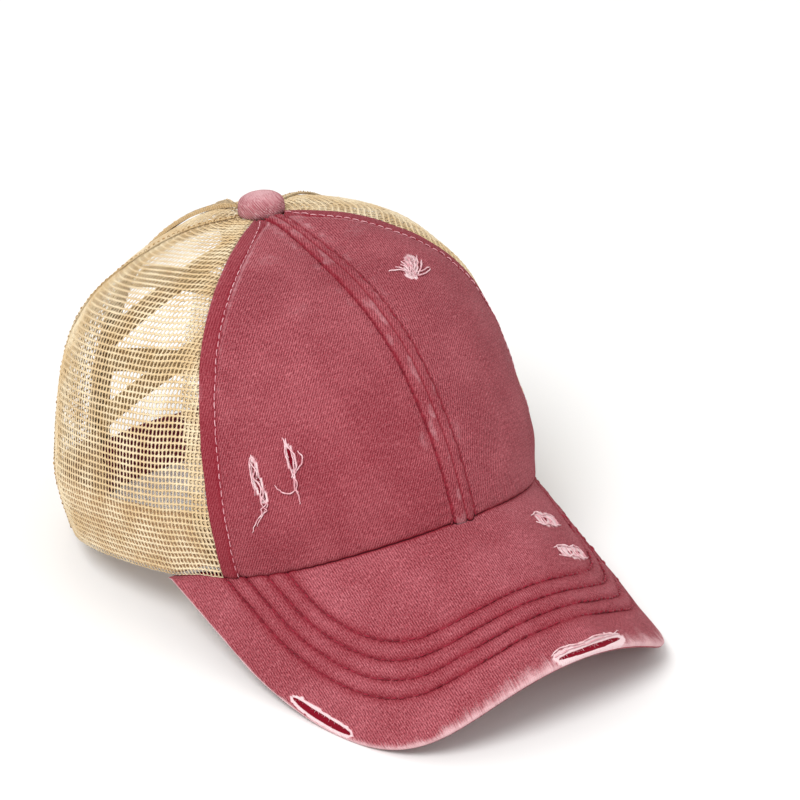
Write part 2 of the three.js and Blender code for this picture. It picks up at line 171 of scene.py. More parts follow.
def rolled(distance: np.ndarray, radius: float) -> np.ndarray:
    """How far a rounded edge falls away at a distance in from it."""
    inside = np.clip(radius - distance, 0, radius)
    return radius - np.sqrt(np.maximum(radius**2 - inside**2, 0))


def bell(value: np.ndarray, width: float) -> np.ndarray:
    """A bump that is 1 at 0 and fades over a width to both sides."""
    return np.exp(-((value / width) ** 2))


def wave(along: np.ndarray, length: float, shift: np.ndarray | float = 0.0) -> np.ndarray:
    """An even wave of a length in millimetres."""
    return np.sin(along * 2 * math.pi / length + shift)


def unit(vectors: np.ndarray) -> np.ndarray:
    """Vectors brought to length 1."""
    return vectors / np.maximum(np.linalg.norm(vectors, axis=-1, keepdims=True), 1e-9)


def length_along(path: np.ndarray) -> np.ndarray:
    """Length from a path's start to each of its points."""
    return np.concatenate([[0], np.cumsum(np.linalg.norm(np.diff(path, axis=0), axis=-1))])


@dataclass(frozen=True)
class CapForm:
    """The crown and the bent brim sheet as formulas, in millimetres, before the cap leans back."""

    rim_half_width: float = 86
    rim_front_reach: float = 126.5
    rim_back_reach: float = 74
    crown_height: float = 117
    button_shift: float = 13.5
    back_rim_sag: float = 5.8
    wall: float = 1.6
    gap: float = 0.3
    lean: float = math.radians(10.9)
    pivot_height: float = 17.2
    frame_shift: float = 55.832
    front_seam: float = math.radians(57.3)
    front_seam_sway: float = math.radians(2.4)
    back_seam_angle: float = math.radians(118)
    centre_seam_width: float = 11.4
    centre_seam_top_width: float = 7
    brim_length: float = 70.5
    brim_half_width: float = 102
    brim_thickness: float = 3
    brim_slope: float = math.radians(33.5)
    brim_bend_radius: float = 68.5
    brim_bend_ease: float = 0.53
    brim_middle_height: float = 16.4
    brim_widest_back: float = 11.7
    brim_tail_length: float = 48
    brim_tail_flare: float = 3.3
    brim_side_power: float = 0.39
    brim_front_power: float = 1.44
    brim_turn_power: float = 2.2
    brim_corner: float = math.radians(69)
    brim_level: float = math.radians(60)
    brim_settle_reach: float = 20
    brim_seat_gap: float = 0.8
    opening_half_width: float = 35
    opening_top: float = 0.87
    tape_width: float = 10
    tape_top: float = 0.93
    button_hole: float = 8

    def level(self, column: Column, station: np.ndarray | float) -> np.ndarray:
        """A column of the level table at stations from 0, the rim, to 1, the button."""
        table = LEVELS[:, column.value]
        steps = len(table) - 1
        place = np.clip(station, 0, 1) * steps
        row = np.minimum(np.floor(place).astype(int), steps - 1)
        t = place - row
        a, b, c, d = (table[np.clip(row + k, 0, steps)] for k in (-1, 0, 1, 2))
        return b + 0.5 * t * (c - a + t * (2 * a - 5 * b + 4 * c - d + t * (3 * (b - c) + d - a)))

    def reach(self, angle: np.ndarray, station: np.ndarray) -> np.ndarray:
        """Share of the rim's reach at an angle and a station."""
        ahead = np.maximum(np.cos(angle), 0) ** 2
        behind = np.maximum(-np.cos(angle), 0) ** 2
        side = self.level(Column.SIDE, station)
        front = self.level(Column.FRONT, station) - side
        back = self.level(Column.BACK, station) - side
        return side + ahead * front + behind * back

    def turn(self, arc: np.ndarray) -> np.ndarray:
        """Sideways turn of the bent brim sheet at an arc length from its middle line."""
        return np.abs(arc) / self.brim_bend_radius - self.brim_bend_ease * (np.abs(arc) / 100) ** 3

    def bend(self, arc: np.ndarray) -> tuple[np.ndarray, np.ndarray]:
        """Sideways place and drop of the bent brim sheet at an arc length."""
        arc = np.asarray(arc, float)
        turns = self.turn(np.abs(arc)[..., None] * ((np.arange(24) + 0.5) / 24))
        return arc * np.cos(turns).mean(-1), np.abs(arc) * np.sin(turns).mean(-1)

    def arc_at(self, side: np.ndarray) -> np.ndarray:
        """Arc length on the brim sheet that lies at a sideways place."""
        arcs = np.linspace(0, 1.4 * self.brim_half_width, 2801)
        return np.interp(np.abs(side), self.bend(arcs)[0], arcs)

    def sheet_along(self, y: np.ndarray, drop: np.ndarray) -> np.ndarray:
        """Place along the flat brim sheet of a plan place with a drop."""
        return (-(y + self.rim_front_reach) + drop * math.sin(self.brim_slope)) / math.cos(self.brim_slope)

    def sheet_height(self, x: np.ndarray, y: np.ndarray) -> np.ndarray:
        """Height of the brim sheet's top over a plan place."""
        drop = self.bend(self.arc_at(x))[1]
        along = self.sheet_along(y, drop)
        return self.brim_middle_height - along * math.sin(self.brim_slope) - drop * math.cos(self.brim_slope)

    def follows_brim(self, x: np.ndarray, y: np.ndarray) -> np.ndarray:
        """How much the rim follows the brim: 1 in front, 0 from the brim's corners back."""
        angle = np.arctan2(np.abs(x) / self.rim_half_width, -y / self.rim_front_reach)
        return 1 - smoothstep(angle, self.brim_level, self.brim_corner)

    def rim_height(self, x: np.ndarray, y: np.ndarray) -> np.ndarray:
        """Height of the rim's lower edge over a plan place."""
        follow = self.follows_brim(x, y)
        sag = self.back_rim_sag * smoothstep(y / self.rim_back_reach, 0, 1)
        return self.brim_seat_gap + np.where(follow > 0, follow * self.sheet_height(x, y), -sag)

    def surface(self, angle: np.ndarray | float, station: np.ndarray | float) -> np.ndarray:
        """Outer surface of the crown."""
        angle, station = np.broadcast_arrays(np.asarray(angle, float), np.asarray(station, float))
        share = self.reach(angle, station)
        ahead = np.cos(angle)
        x = self.rim_half_width * np.sin(angle)
        y = -np.where(ahead > 0, self.rim_front_reach, self.rim_back_reach) * ahead
        low = self.rim_height(x, y)
        z = low + (self.crown_height - low) * self.level(Column.HEIGHT, station)
        return np.stack([x * share, y * share - self.button_shift * self.level(Column.SHIFT, station), z], -1)

    def normal(self, angle: np.ndarray | float, station: np.ndarray | float) -> np.ndarray:
        """Outward normal of the crown."""
        step = 0.004
        around = self.surface(angle + step, station) - self.surface(angle - step, station)
        high = self.surface(angle, np.clip(station + step, 0, 1))
        out = np.cross(around, high - self.surface(angle, np.clip(station - step, 0, 1)))
        return unit(out)

    def point(self, angle: np.ndarray, station: np.ndarray, depth: np.ndarray | float) -> np.ndarray:
        """A point at a depth inside the outer surface, with its lower edge on the rim line."""
        angle, station = np.broadcast_arrays(np.asarray(angle, float), np.asarray(station, float))
        depth = np.broadcast_to(np.asarray(depth, float), angle.shape)[..., None]
        foot = np.zeros_like(station)
        points = self.surface(angle, station) - self.normal(angle, station) * depth
        inner = self.surface(angle, foot) - self.normal(angle, foot) * depth
        change = self.rim_height(inner[..., 0], inner[..., 1]) - inner[..., 2]
        points[..., 2] += change * (1 - smoothstep(self.level(Column.HEIGHT, station), 0, 0.25))
        return points

    def lean_back(self, vectors: np.ndarray, side: int = 1) -> np.ndarray:
        """Mirrors directions for the right side and leans them back."""
        x, y, z = vectors[..., 0] * side, vectors[..., 1], vectors[..., 2]
        cos, sin = math.cos(self.lean), math.sin(self.lean)
        return np.stack([x, y * cos + z * sin, z * cos - y * sin], -1)

    def in_frame(self, points: np.ndarray, side: int = 1, floor: float = 0.0) -> np.ndarray:
        """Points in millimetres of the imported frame, pressed flat at the floor height."""
        out = self.lean_back(points, side) + np.array([0, self.frame_shift, self.pivot_height])
        out[..., 2] = np.maximum(out[..., 2], floor)
        return out

    def laid(
        self,
        angle: np.ndarray,
        station: np.ndarray,
        depth: np.ndarray | float,
        side: int = 1,
        floor: float = 0.0,
    ) -> np.ndarray:
        """A point at a depth inside the crown's outer surface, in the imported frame."""
        return self.in_frame(self.point(angle, station, depth), side, floor)

    def front_seam_angle(self, station: np.ndarray | float) -> np.ndarray:
        """Angle of the seam between a front panel and its side net."""
        return self.front_seam + self.front_seam_sway * np.sin(math.pi * np.asarray(station, float))

    def back_seam(self, station: np.ndarray | float) -> np.ndarray:
        """Angle of the seam between a side net and its back net."""
        return np.full_like(np.asarray(station, float), self.back_seam_angle)

    def angle_at_side(self, side: np.ndarray, station: np.ndarray, column: Column) -> np.ndarray:
        """Angle whose sideways place is a distance from the middle of the front or back."""
        width = self.rim_half_width * self.level(column, station)
        return np.arcsin(np.clip(side / np.maximum(width, 0.01), 0, 0.97))

    def angle_for(self, distance: np.ndarray | float, angle: np.ndarray, station: np.ndarray) -> np.ndarray:
        """Angle change that makes a distance along the wall."""
        step = 0.01
        span = self.surface(angle + step, station) - self.surface(angle - step, station)
        return distance * 2 * step / np.maximum(np.linalg.norm(span, axis=-1), 0.01)

    def top_station(self, angle: np.ndarray) -> np.ndarray:
        """Station where the crown reaches the hole below the button."""
        low, high = np.full_like(angle, 0.8), np.ones_like(angle)
        for _ in range(24):
            middle = (low + high) / 2
            place = self.surface(angle, middle)
            out = np.hypot(place[..., 0], place[..., 1] + self.button_shift) > self.button_hole
            low, high = np.where(out, middle, low), np.where(out, high, middle)
        return (low + high) / 2

    def station_at(self, height: np.ndarray | float) -> np.ndarray:
        """Station where the wall is a height above the level rim."""
        stations = np.linspace(0, 1, 2001)
        return np.interp(height, self.level(Column.HEIGHT, stations) * self.crown_height, stations)

    def centre_seam_half(self, station: np.ndarray | float) -> np.ndarray:
        """Half width of the raised centre seam."""
        return lerp(self.centre_seam_width, self.centre_seam_top_width, smoothstep(station, 0.55, 0.95)) / 2

    def centre_edge(self, station: np.ndarray | float) -> np.ndarray:
        """Angle of the front panel's edge beside the centre seam."""
        return self.angle_at_side(self.centre_seam_half(station) + self.gap, station, Column.FRONT)

    def arch_half(self, station: np.ndarray, top: float, base: float) -> np.ndarray:
        """Half width of an arch at a station, from its top station and its width at the rim."""
        return base * np.sin(np.clip((top - station) / top, 0, 1) * math.pi / 2)

    def opening_half(self, station: np.ndarray | float) -> np.ndarray:
        """Half width of the ponytail opening at a station."""
        return self.arch_half(np.asarray(station, float), self.opening_top, self.opening_half_width)

    def opening_edge(self, station: np.ndarray | float, extra: float) -> np.ndarray:
        """Angle of the opening's edge, or of the middle of the back above it."""
        return math.pi - self.angle_at_side(self.opening_half(station) + extra, station, Column.BACK)

    def back_net_edge(self, station: np.ndarray | float) -> np.ndarray:
        """Angle of the back net's free edge below the tape."""
        return self.opening_edge(station, 1.0)


@dataclass(frozen=True)
class BrimForm:
    """The brim as a flat cut that is bent over the crown's form."""

    form: CapForm = CapForm()
    curved: float = 0.8

    def outline(self, u: np.ndarray, inset: np.ndarray | float = 0.0) -> np.ndarray:
        """Outline on the flat sheet from -1, the right corner, to 1, the left one."""
        f = self.form
        turn = np.clip(np.abs(u) / self.curved, 0, 1) ** f.brim_turn_power * math.pi / 2
        tail = np.clip((np.abs(u) - self.curved) / (1 - self.curved), 0, 1)
        across = (f.brim_half_width - inset) * np.sin(turn) ** f.brim_side_power + f.brim_tail_flare * tail
        reach = f.brim_length - inset + f.brim_widest_back
        ahead = reach * np.maximum(np.cos(turn), 0) ** f.brim_front_power
        return np.stack([np.sign(u) * across, ahead - f.brim_widest_back - f.brim_tail_length * tail], -1)

    def inner_edge(self, u: np.ndarray) -> np.ndarray:
        """Inner edge on the flat sheet, below the inner face of the crown's wall."""
        f = self.form
        angle = np.asarray(u, float) * f.brim_corner
        foot = f.point(angle, np.zeros_like(angle), f.wall)
        arc = f.arc_at(foot[..., 0])
        along = f.sheet_along(foot[..., 1], f.bend(arc)[1])
        return np.stack([np.sign(u) * arc, along], -1)

    def place(self, flat: np.ndarray, depth: np.ndarray | float) -> np.ndarray:
        """A point of the brim at a place on its flat sheet and a depth below its top."""
        f = self.form
        across, along = flat[..., 0], flat[..., 1]
        side, drop = f.bend(across)
        turn = f.turn(across)
        fall = -drop - depth + depth * (1 - np.cos(turn))
        x = side - np.sign(across) * depth * np.sin(turn)
        y = -f.rim_front_reach - along * math.cos(f.brim_slope) - fall * math.sin(f.brim_slope)
        z = f.brim_middle_height - along * math.sin(f.brim_slope) + fall * math.cos(f.brim_slope)
        return np.stack([x, y, z], -1)

    def settle(self, top: np.ndarray) -> np.ndarray:
        """How far the brim's top settles onto the rim line near its corners."""
        f = self.form
        share = np.hypot(top[..., 0] / f.rim_half_width, top[..., 1] / f.rim_front_reach) - 1
        near = 1 - smoothstep(share * f.rim_half_width, 2, f.brim_settle_reach)
        lowered = (1 - f.follows_brim(top[..., 0], top[..., 1])) * top[..., 2]
        return near * np.maximum(lowered, 0)

    def settled(self, flat: np.ndarray, depth: np.ndarray | float) -> np.ndarray:
        """A point of the settled brim."""
        points = self.place(flat, depth)
        points[..., 2] -= self.settle(self.place(flat, 0.0))
        return points


class TreeMaker:
    """Adds nodes to a node tree and joins their sockets."""

    def __init__(self, tree: bpy.types.NodeTree) -> None:
        """Takes an empty or a started tree.

        Args:
            tree: the node tree to add to.
        """
        self.tree = tree

    def node(self, kind: str, inputs: dict | None = None, **settings: object) -> bpy.types.Node:
        """Adds one node.

        Args:
            kind: the node's Blender type.
            inputs: socket name or number to a value, or to the socket that feeds it.
            **settings: the node's own properties.

        Returns:
            The node.
        """
        made = self.tree.nodes.new(kind)
        made.location = (190 * (len(self.tree.nodes) % 12), -220 * (len(self.tree.nodes) // 12))
        for name, value in settings.items():
            setattr(made, name, value)
        for name, value in (inputs or {}).items():
            if isinstance(value, bpy.types.NodeSocket):
                self.tree.links.new(value, made.inputs[name])
            else:
                made.inputs[name].default_value = value
        return made

    def interface(self, inputs: dict[str, str | float], kind: str, *outputs: str) -> bpy.types.NodeOutputs:
        """Gives the tree its named inputs and outputs.

        Args:
            inputs: name to the socket's kind, or to the number that it starts from.
            kind: what its outputs are.
            *outputs: their names.

        Returns:
            The inputs, as sockets inside the tree.
        """
        for name, value in inputs.items():
            number = "Int" if isinstance(value, int) else "Float"
            socket = value if isinstance(value, str) else number
            made = self.tree.interface.new_socket(name, in_out="INPUT", socket_type=f"NodeSocket{socket}")
            if not isinstance(value, str):
                made.default_value = value
        for name in outputs:
            self.tree.interface.new_socket(name, in_out="OUTPUT", socket_type=f"NodeSocket{kind}")
        return self.node("NodeGroupInput").outputs

    def maths(self, operation: str, *values: object) -> bpy.types.NodeSocket:
        """A Math node's result."""
        return self.node("ShaderNodeMath", dict(enumerate(values)), operation=operation).outputs[0]

    def vectors(self, operation: str, first: object, second: object) -> bpy.types.NodeSocket:
        """A Vector Math node's result."""
        return self.node("ShaderNodeVectorMath", {0: first, 1: second}, operation=operation).outputs[0]

    def scaled(self, vector: object, factor: object) -> bpy.types.NodeSocket:
        """A vector times a number."""
        return self.node("ShaderNodeVectorMath", {0: vector, "Scale": factor}, operation="SCALE").outputs[0]

    def vector(self, **parts: object) -> bpy.types.NodeSocket:
        """A vector from its parts X, Y and Z."""
        return self.node("ShaderNodeCombineXYZ", parts).outputs[0]

    def split(self, vector: object) -> bpy.types.NodeOutputs:
        """The three parts of a vector."""
        return self.node("ShaderNodeSeparateXYZ", {0: vector}).outputs


class GeometryMaker(TreeMaker):
    """Short forms of the geometry nodes that the trees use."""

    def named(self, name: str, kind: str) -> bpy.types.NodeSocket:
        """A value kept on the mesh."""
        return self.node("GeometryNodeInputNamedAttribute", {"Name": name}, data_type=kind).outputs[0]

    def place(self) -> bpy.types.NodeSocket:
        """Each point's place."""
        return self.node("GeometryNodeInputPosition").outputs[0]

    def both(self, first: object, second: object) -> bpy.types.NodeSocket:
        """True where both are."""
        return self.node("FunctionNodeBooleanMath", {0: first, 1: second}, operation="AND").outputs[0]

    def random(self, low: object, high: object, seed: object) -> bpy.types.NodeSocket:
        """A random vector between two."""
        inputs = {0: low, 1: high, "Seed": seed}
        return self.node("FunctionNodeRandomValue", inputs, data_type="FLOAT_VECTOR").outputs[0]

    def turned(self, facing: object, along: object, lean: object) -> bpy.types.NodeSocket:
        """The turn that puts Z on facing and X on along, with a lean of its own added."""
        axes = self.node(
            "FunctionNodeAxesToRotation", {0: facing, 1: along}, primary_axis="Z", secondary_axis="X"
        ).outputs[0]
        inputs = {"Rotation": axes, "Rotate By": lean}
        return self.node("FunctionNodeRotateRotation", inputs, rotation_space="LOCAL").outputs[0]

    def copies(self, shape: object, **inputs: object) -> bpy.types.NodeSocket:
        """Copies of an object on points."""
        shown = self.node("GeometryNodeObjectInfo", {"Object": shape, "As Instance": True})
        inputs["Instance"] = shown.outputs["Geometry"]
        return self.node("GeometryNodeInstanceOnPoints", inputs).outputs[0]

    def close(self, copies: object, material: object) -> None:
        """Makes copies real, gives them a material and ends the tree."""
        real = self.node("GeometryNodeRealizeInstances", {0: copies}).outputs[0]
        done = self.node("GeometryNodeSetMaterial", {"Geometry": real, "Material": material}).outputs[0]
        self.node("NodeGroupOutput", {0: done})


class ShaderMaker(TreeMaker):
    """Short forms of the shader nodes that the finishes use."""

    def ramp(self, value: object, low: float, high: float, smooth: bool = True) -> bpy.types.NodeSocket:
        """A value brought to 0 at low and 1 at high, clamped."""
        kind = "SMOOTHSTEP" if smooth else "LINEAR"
        inputs = {"Value": value, "From Min": low, "From Max": high}
        return self.node("ShaderNodeMapRange", inputs, interpolation_type=kind).outputs[0]

    def mix(self, share: object, first: object, second: object) -> bpy.types.NodeSocket:
        """A mix of two colours, each a socket or a display colour such as A84A5A."""
        made = self.node("ShaderNodeMix", data_type="RGBA")
        for number, value in ((0, share), (6, first), (7, second)):
            if isinstance(value, bpy.types.NodeSocket):
                self.tree.links.new(value, made.inputs[number])
            else:
                made.inputs[number].default_value = rgba(value)
        return made.outputs[2]

    def noise(self, place: object, size: float, detail: float = 2.0, rough: float = 0.5) -> bpy.types.NodeSocket:
        """Noise from 0 to 1 whose lumps are about size millimetres, over a place in millimetres."""
        inputs = {"Vector": place, "Scale": 1 / size, "Detail": detail, "Roughness": rough}
        return self.node("ShaderNodeTexNoise", inputs).outputs["Fac"]

    def attribute(self, name: str) -> bpy.types.NodeSocket:
        """A number kept on the mesh."""
        return self.node("ShaderNodeAttribute", attribute_name=name).outputs["Fac"]

    def flat_place(self) -> bpy.types.NodeSocket:
        """Place on the flat cut, in millimetres."""
        return self.scaled(self.node("ShaderNodeUVMap", uv_map="flat").outputs["UV"], FLAT_UNIT)

    def solid_place(self) -> bpy.types.NodeSocket:
        """Place in the frame, in millimetres."""
        return self.scaled(self.node("ShaderNodeTexCoord").outputs["Object"], 1 / MM)

    def times(self, share: object, factor: float) -> bpy.types.NodeSocket:
        """A share times a number."""
        return self.maths("MULTIPLY", share, factor)

    def rest_of(self, share: object) -> bpy.types.NodeSocket:
        """What a share leaves of 1."""
        return self.maths("SUBTRACT", 1.0, share)


def rgba(hexadecimal: str) -> tuple[float, float, float, float]:
    """A display colour such as A84A5A as linear light."""
    parts = [int(hexadecimal[k : k + 2], 16) / 255 for k in (0, 2, 4)]
    return (*(p / 12.92 if p <= 0.04045 else ((p + 0.055) / 1.055) ** 2.4 for p in parts), 1.0)


class SharedEffects:
    """Shader node groups that several finishes place."""

    def __init__(self) -> None:
        """Builds the groups once."""
        self.twill = self._twill()
        self.wash = self._wash()

    @staticmethod
    def _twill() -> bpy.types.NodeTree:
        """Slanting ridges of twill, broken by the threads that cross them.

        Returns:
            The group. Ridge is 1 on a ridge and 0 between two; Dashes are uneven lengths of thread
            that lie along the ridges.
        """
        tree = bpy.data.node_groups.new("twill_ridges", "ShaderNodeTree")
        make = ShaderMaker(tree)
        given = make.interface({"Place": "Vector", "Pitch": 0.7, "Slant": 0.5}, "Float", "Ridge", "Dashes")
        part = make.split(given["Place"])
        wander = make.noise(given["Place"], 2.2, 1.0)
        across = make.maths("MULTIPLY_ADD", part[1], given["Slant"], part[0])
        across = make.maths("MULTIPLY_ADD", wander, 0.22, across)
        turns = make.maths("DIVIDE", across, given["Pitch"])
        ridge = make.maths("SINE", make.maths("MULTIPLY", turns, 2 * math.pi))
        steps = make.maths("DIVIDE", part[1], given["Pitch"])
        thread = make.maths("SINE", make.maths("MULTIPLY", steps, 2.2 * math.pi))
        both = make.maths("MULTIPLY_ADD", thread, 0.25, ridge)
        out = make.ramp(both, -0.8, 0.9, smooth=False)
        lengths = make.vector(X=across, Y=make.times(part[1], 0.3))
        dashes = make.ramp(make.noise(lengths, 0.42, 1.0, 0.6), 0.36, 0.66)
        make.node("NodeGroupOutput", {"Ridge": out, "Dashes": dashes})
        return tree

    @staticmethod
    def _wash() -> bpy.types.NodeTree:
        """Uneven fading of washed cloth, in patches and in fine flecks.

        Returns:
            The group. Patches and Flecks run from 0 to 1.
        """
        tree = bpy.data.node_groups.new("wash_fading", "ShaderNodeTree")
        make = ShaderMaker(tree)
        inputs = {"Place": "Vector", "Flat": "Vector", "Patch Size": 26.0}
        given = make.interface(inputs, "Float", "Patches", "Flecks")
        scale = make.maths("DIVIDE", 1.0, given["Patch Size"])
        large = make.node(
            "ShaderNodeTexNoise",
            {"Vector": given["Place"], "Scale": scale, "Detail": 3.0, "Roughness": 0.62},
        )
        patches = make.ramp(large.outputs["Fac"], 0.36, 0.68)
        stretch = make.vectors("MULTIPLY", given["Flat"], (1.0, 0.42, 1.0))
        flecks = make.ramp(make.noise(stretch, 0.42, 2.0, 0.7), 0.38, 0.66)
        make.node("NodeGroupOutput", {"Patches": patches, "Flecks": flecks})
        return tree


def plain_material(name: str) -> tuple[ShaderMaker, bpy.types.Node]:
    """A new material with one Principled shader.

    Args:
        name: the material's name.

    Returns:
        Its tree's maker and its shader node.
    """
    material = bpy.data.materials.new(name)
    material.use_nodes = True
    make = ShaderMaker(material.node_tree)
    return make, material.node_tree.nodes["Principled BSDF"]


def finish_shader(
    make: ShaderMaker,
    shader: bpy.types.Node,
    colour: object,
    height: object,
    rise: float,
    roughness: float,
    sheen: float = 0.0,
    strength: float = 1.0,
) -> bpy.types.Material:
    """Joins a colour and a height to a shader.

    Args:
        make: the tree's maker.
        shader: the Principled node.
        colour: the colour's socket.
        height: socket from 0 to 1.
        rise: height of 1 in millimetres.
        roughness: the shader's roughness.
        sheen: weight of the fuzz on the cloth.
        strength: strength of the bump.

    Returns:
        The material.
    """
    make.tree.links.new(colour, shader.inputs["Base Color"])
    bump = make.node("ShaderNodeBump", {"Height": height, "Distance": rise * MM, "Strength": strength})
    make.tree.links.new(bump.outputs["Normal"], shader.inputs["Normal"])
    shader.inputs["Roughness"].default_value = roughness
    shader.inputs["Sheen Weight"].default_value = sheen
    shader.inputs["Sheen Roughness"].default_value = 0.5
    shader.inputs["Specular IOR Level"].default_value = 0.12
    return next(m for m in bpy.data.materials if m.node_tree == make.tree)


@dataclass(frozen=True)
class WashedTwill:
    """Washed cotton twill that pales where the mesh says worn and darkens where it says torn.

    The mesh may also mark stitch lines, where the dye stays dark, with painted shade in their grooves and,
    above 1, a painted shadow line along a seam; and combed, a length along an edge across which the worn threads lie.
    """

    name: str
    base: str = "98303D"
    light: str = "BA5862"
    deep: str = "4E0C18"
    fleck: str = "D38C93"
    worn: str = "D2A1A7"
    bare: str = "E0C8CA"
    torn: str = "7C0A20"
    # Colour of the stitch lines and first step of the painted seam shadow; the shade colour below is that shadow's
    # darkest.
    stitched: str = "7A0F20"
    shade: str = "2E050E"
    pitch: float = 1.05
    slant: float = -0.55
    ridge: float = 0.62
    grain: float = 0.45

    def build(self, effects: SharedEffects) -> bpy.types.Material:
        """Makes the material.

        Args:
            effects: the shared node groups.

        Returns:
            The material.
        """
        make, shader = plain_material(self.name)
        flat, solid = make.flat_place(), make.solid_place()
        inputs = {"Place": flat, "Pitch": self.pitch, "Slant": self.slant}
        weave = make.node("ShaderNodeGroup", inputs, node_tree=effects.twill)
        up, dashes = weave.outputs["Ridge"], weave.outputs["Dashes"]
        wash = make.node("ShaderNodeGroup", {"Place": solid, "Flat": flat}, node_tree=effects.wash)
        patches, flecks = wash.outputs["Patches"], wash.outputs["Flecks"]
        colour = make.mix(make.times(patches, 0.7), self.base, self.light)
        low = make.maths("MULTIPLY", make.rest_of(up), self.ridge)
        colour = make.mix(low, colour, self.deep)
        speckle = make.ramp(make.noise(flat, self.grain, 2.0, 0.8), 0.52, 0.72)
        colour = make.mix(make.times(make.rest_of(dashes), 0.5), colour, self.deep)
        bright = make.maths("MULTIPLY_ADD", make.maths("MULTIPLY", flecks, dashes), 0.3, make.times(up, 0.12))
        bright = make.maths("MULTIPLY_ADD", speckle, 0.34, bright)
        colour = make.mix(bright, colour, self.fleck)
        # Darker stitch lines with painted shade in their grooves; values above 1 paint a shadow line along a seam,
        # darkening to the shade colour.
        stitch = make.attribute("stitched")
        colour = make.mix(make.times(stitch, 0.8), colour, self.stitched)
        colour = make.mix(make.times(make.ramp(stitch, 1.0, 1.6), 0.9), colour, self.shade)
        ragged = make.maths("ADD", make.noise(flat, 0.55, 3.0, 0.75), make.noise(flat, 2.6, 2.0))
        comb = make.vector(X=make.attribute("combed"))
        comb = make.maths("ADD", make.noise(comb, 0.75, 1.0), make.noise(comb, 7.0, 1.0))
        worn = make.attribute("worn")
        raised = make.maths("MULTIPLY_ADD", ragged, 0.8, make.maths("MULTIPLY_ADD", comb, 1.3, -2.1))
        reached = make.ramp(make.maths("MULTIPLY_ADD", raised, 0.55, worn), 0.18, 1.1)
        reached = make.maths("MULTIPLY", reached, make.ramp(worn, 0.0, 0.14))
        colour = make.mix(reached, colour, self.worn)
        whole = make.ramp(make.maths("MULTIPLY_ADD", raised, 0.3, worn), 0.95, 1.35)
        colour = make.mix(whole, colour, self.bare)
        torn = make.attribute("torn")
        inside = make.ramp(make.maths("MULTIPLY_ADD", ragged, -0.35, torn), -0.3, -0.05)
        inside = make.maths("MULTIPLY", inside, make.ramp(torn, 0.05, 0.25))
        colour = make.mix(inside, colour, self.torn)
        height = make.maths("MULTIPLY_ADD", dashes, 0.5, up)
        return finish_shader(make, shader, colour, height, 0.13, 0.95, sheen=0.03, strength=0.9)


@dataclass(frozen=True)
class NetYarn:
    """Beige yarn of the knitted net."""

    name: str
    base: str = "DCC093"
    shade: str = "A98450"
    light: str = "F0DEBB"

    def build(self) -> bpy.types.Material:
        """Makes the material."""
        make, shader = plain_material(self.name)
        solid = make.solid_place()
        part = make.split(make.flat_place())
        colour = make.mix(make.ramp(make.noise(solid, 14.0, 2.0), 0.35, 0.7), self.base, self.light)
        fibres = make.noise(solid, 0.5, 2.0, 0.7)
        colour = make.mix(make.times(make.ramp(fibres, 0.4, 0.7), 0.35), colour, self.shade)
        twist = make.maths("MULTIPLY_ADD", part[0], 2.0, part[1])
        loops = make.maths("SINE", make.maths("MULTIPLY", twist, 2 * math.pi / 0.62))
        height = make.maths("MULTIPLY_ADD", fibres, 1.2, make.ramp(loops, -1.0, 1.0))
        return finish_shader(make, shader, colour, height, 0.1, 0.78, sheen=0.2, strength=0.6)


@dataclass(frozen=True)
class HerringboneTape:
    """Beige binding tape woven in herringbone."""

    name: str
    base: str = "D3B487"
    light: str = "E6CFA6"
    shade: str = "A98756"
    chevron: float = 4.6
    rib: float = 0.95

    def build(self) -> bpy.types.Material:
        """Makes the material."""
        make, shader = plain_material(self.name)
        part = make.split(make.flat_place())
        fold = make.maths("PINGPONG", part[0], self.chevron / 2)
        slanted = make.maths("MULTIPLY_ADD", fold, 1.1, part[1])
        ridge = make.ramp(make.maths("SINE", make.maths("MULTIPLY", slanted, 2 * math.pi / self.rib)), -0.8, 0.8)
        solid = make.solid_place()
        fleck = make.ramp(make.noise(solid, 0.45, 2.0, 0.7), 0.35, 0.7)
        colour = make.mix(make.times(ridge, 0.75), self.shade, self.base)
        colour = make.mix(make.times(fleck, 0.5), colour, self.light)
        height = make.maths("MULTIPLY_ADD", fleck, 0.4, ridge)
        return finish_shader(make, shader, colour, height, 0.22, 0.85, sheen=0.2)


@dataclass(frozen=True)
class PlainCloth:
    """Plain woven cloth or webbing in one colour family."""

    name: str
    base: str
    light: str
    shade: str
    thread: float = 0.5
    rise: float = 0.1
    roughness: float = 0.85
    patch: float = 18.0

    def build(self) -> bpy.types.Material:
        """Makes the material."""
        make, shader = plain_material(self.name)
        part = make.split(make.flat_place())
        turn = 2 * math.pi / self.thread
        warp = make.maths("SINE", make.maths("MULTIPLY", part[0], turn))
        weft = make.maths("SINE", make.maths("MULTIPLY", part[1], turn))
        weave = make.ramp(make.maths("MULTIPLY", warp, weft), -0.7, 0.7)
        solid = make.solid_place()
        fleck = make.ramp(make.noise(solid, 0.6, 2.0, 0.65), 0.35, 0.68)
        patch = make.ramp(make.noise(solid, self.patch, 3.0, 0.6), 0.35, 0.7)
        colour = make.mix(make.times(patch, 0.6), self.base, self.light)
        colour = make.mix(make.times(make.rest_of(weave), 0.35), colour, self.shade)
        colour = make.mix(make.times(fleck, 0.25), colour, self.light)
        height = make.maths("MULTIPLY_ADD", fleck, 0.4, weave)
        return finish_shader(make, shader, colour, height, self.rise, self.roughness, sheen=0.15)


@dataclass(frozen=True)
class SewingThread:
    """Twisted sewing thread."""

    name: str
    base: str
    light: str

    def build(self) -> bpy.types.Material:
        """Makes the material."""
        make, shader = plain_material(self.name)
        solid = make.solid_place()
        patch = make.noise(solid, 2.5, 2.0)
        colour = make.mix(make.ramp(patch, 0.35, 0.65), self.base, self.light)
        return finish_shader(make, shader, colour, make.noise(solid, 0.25, 1.0), 0.05, 0.6, sheen=0.1)


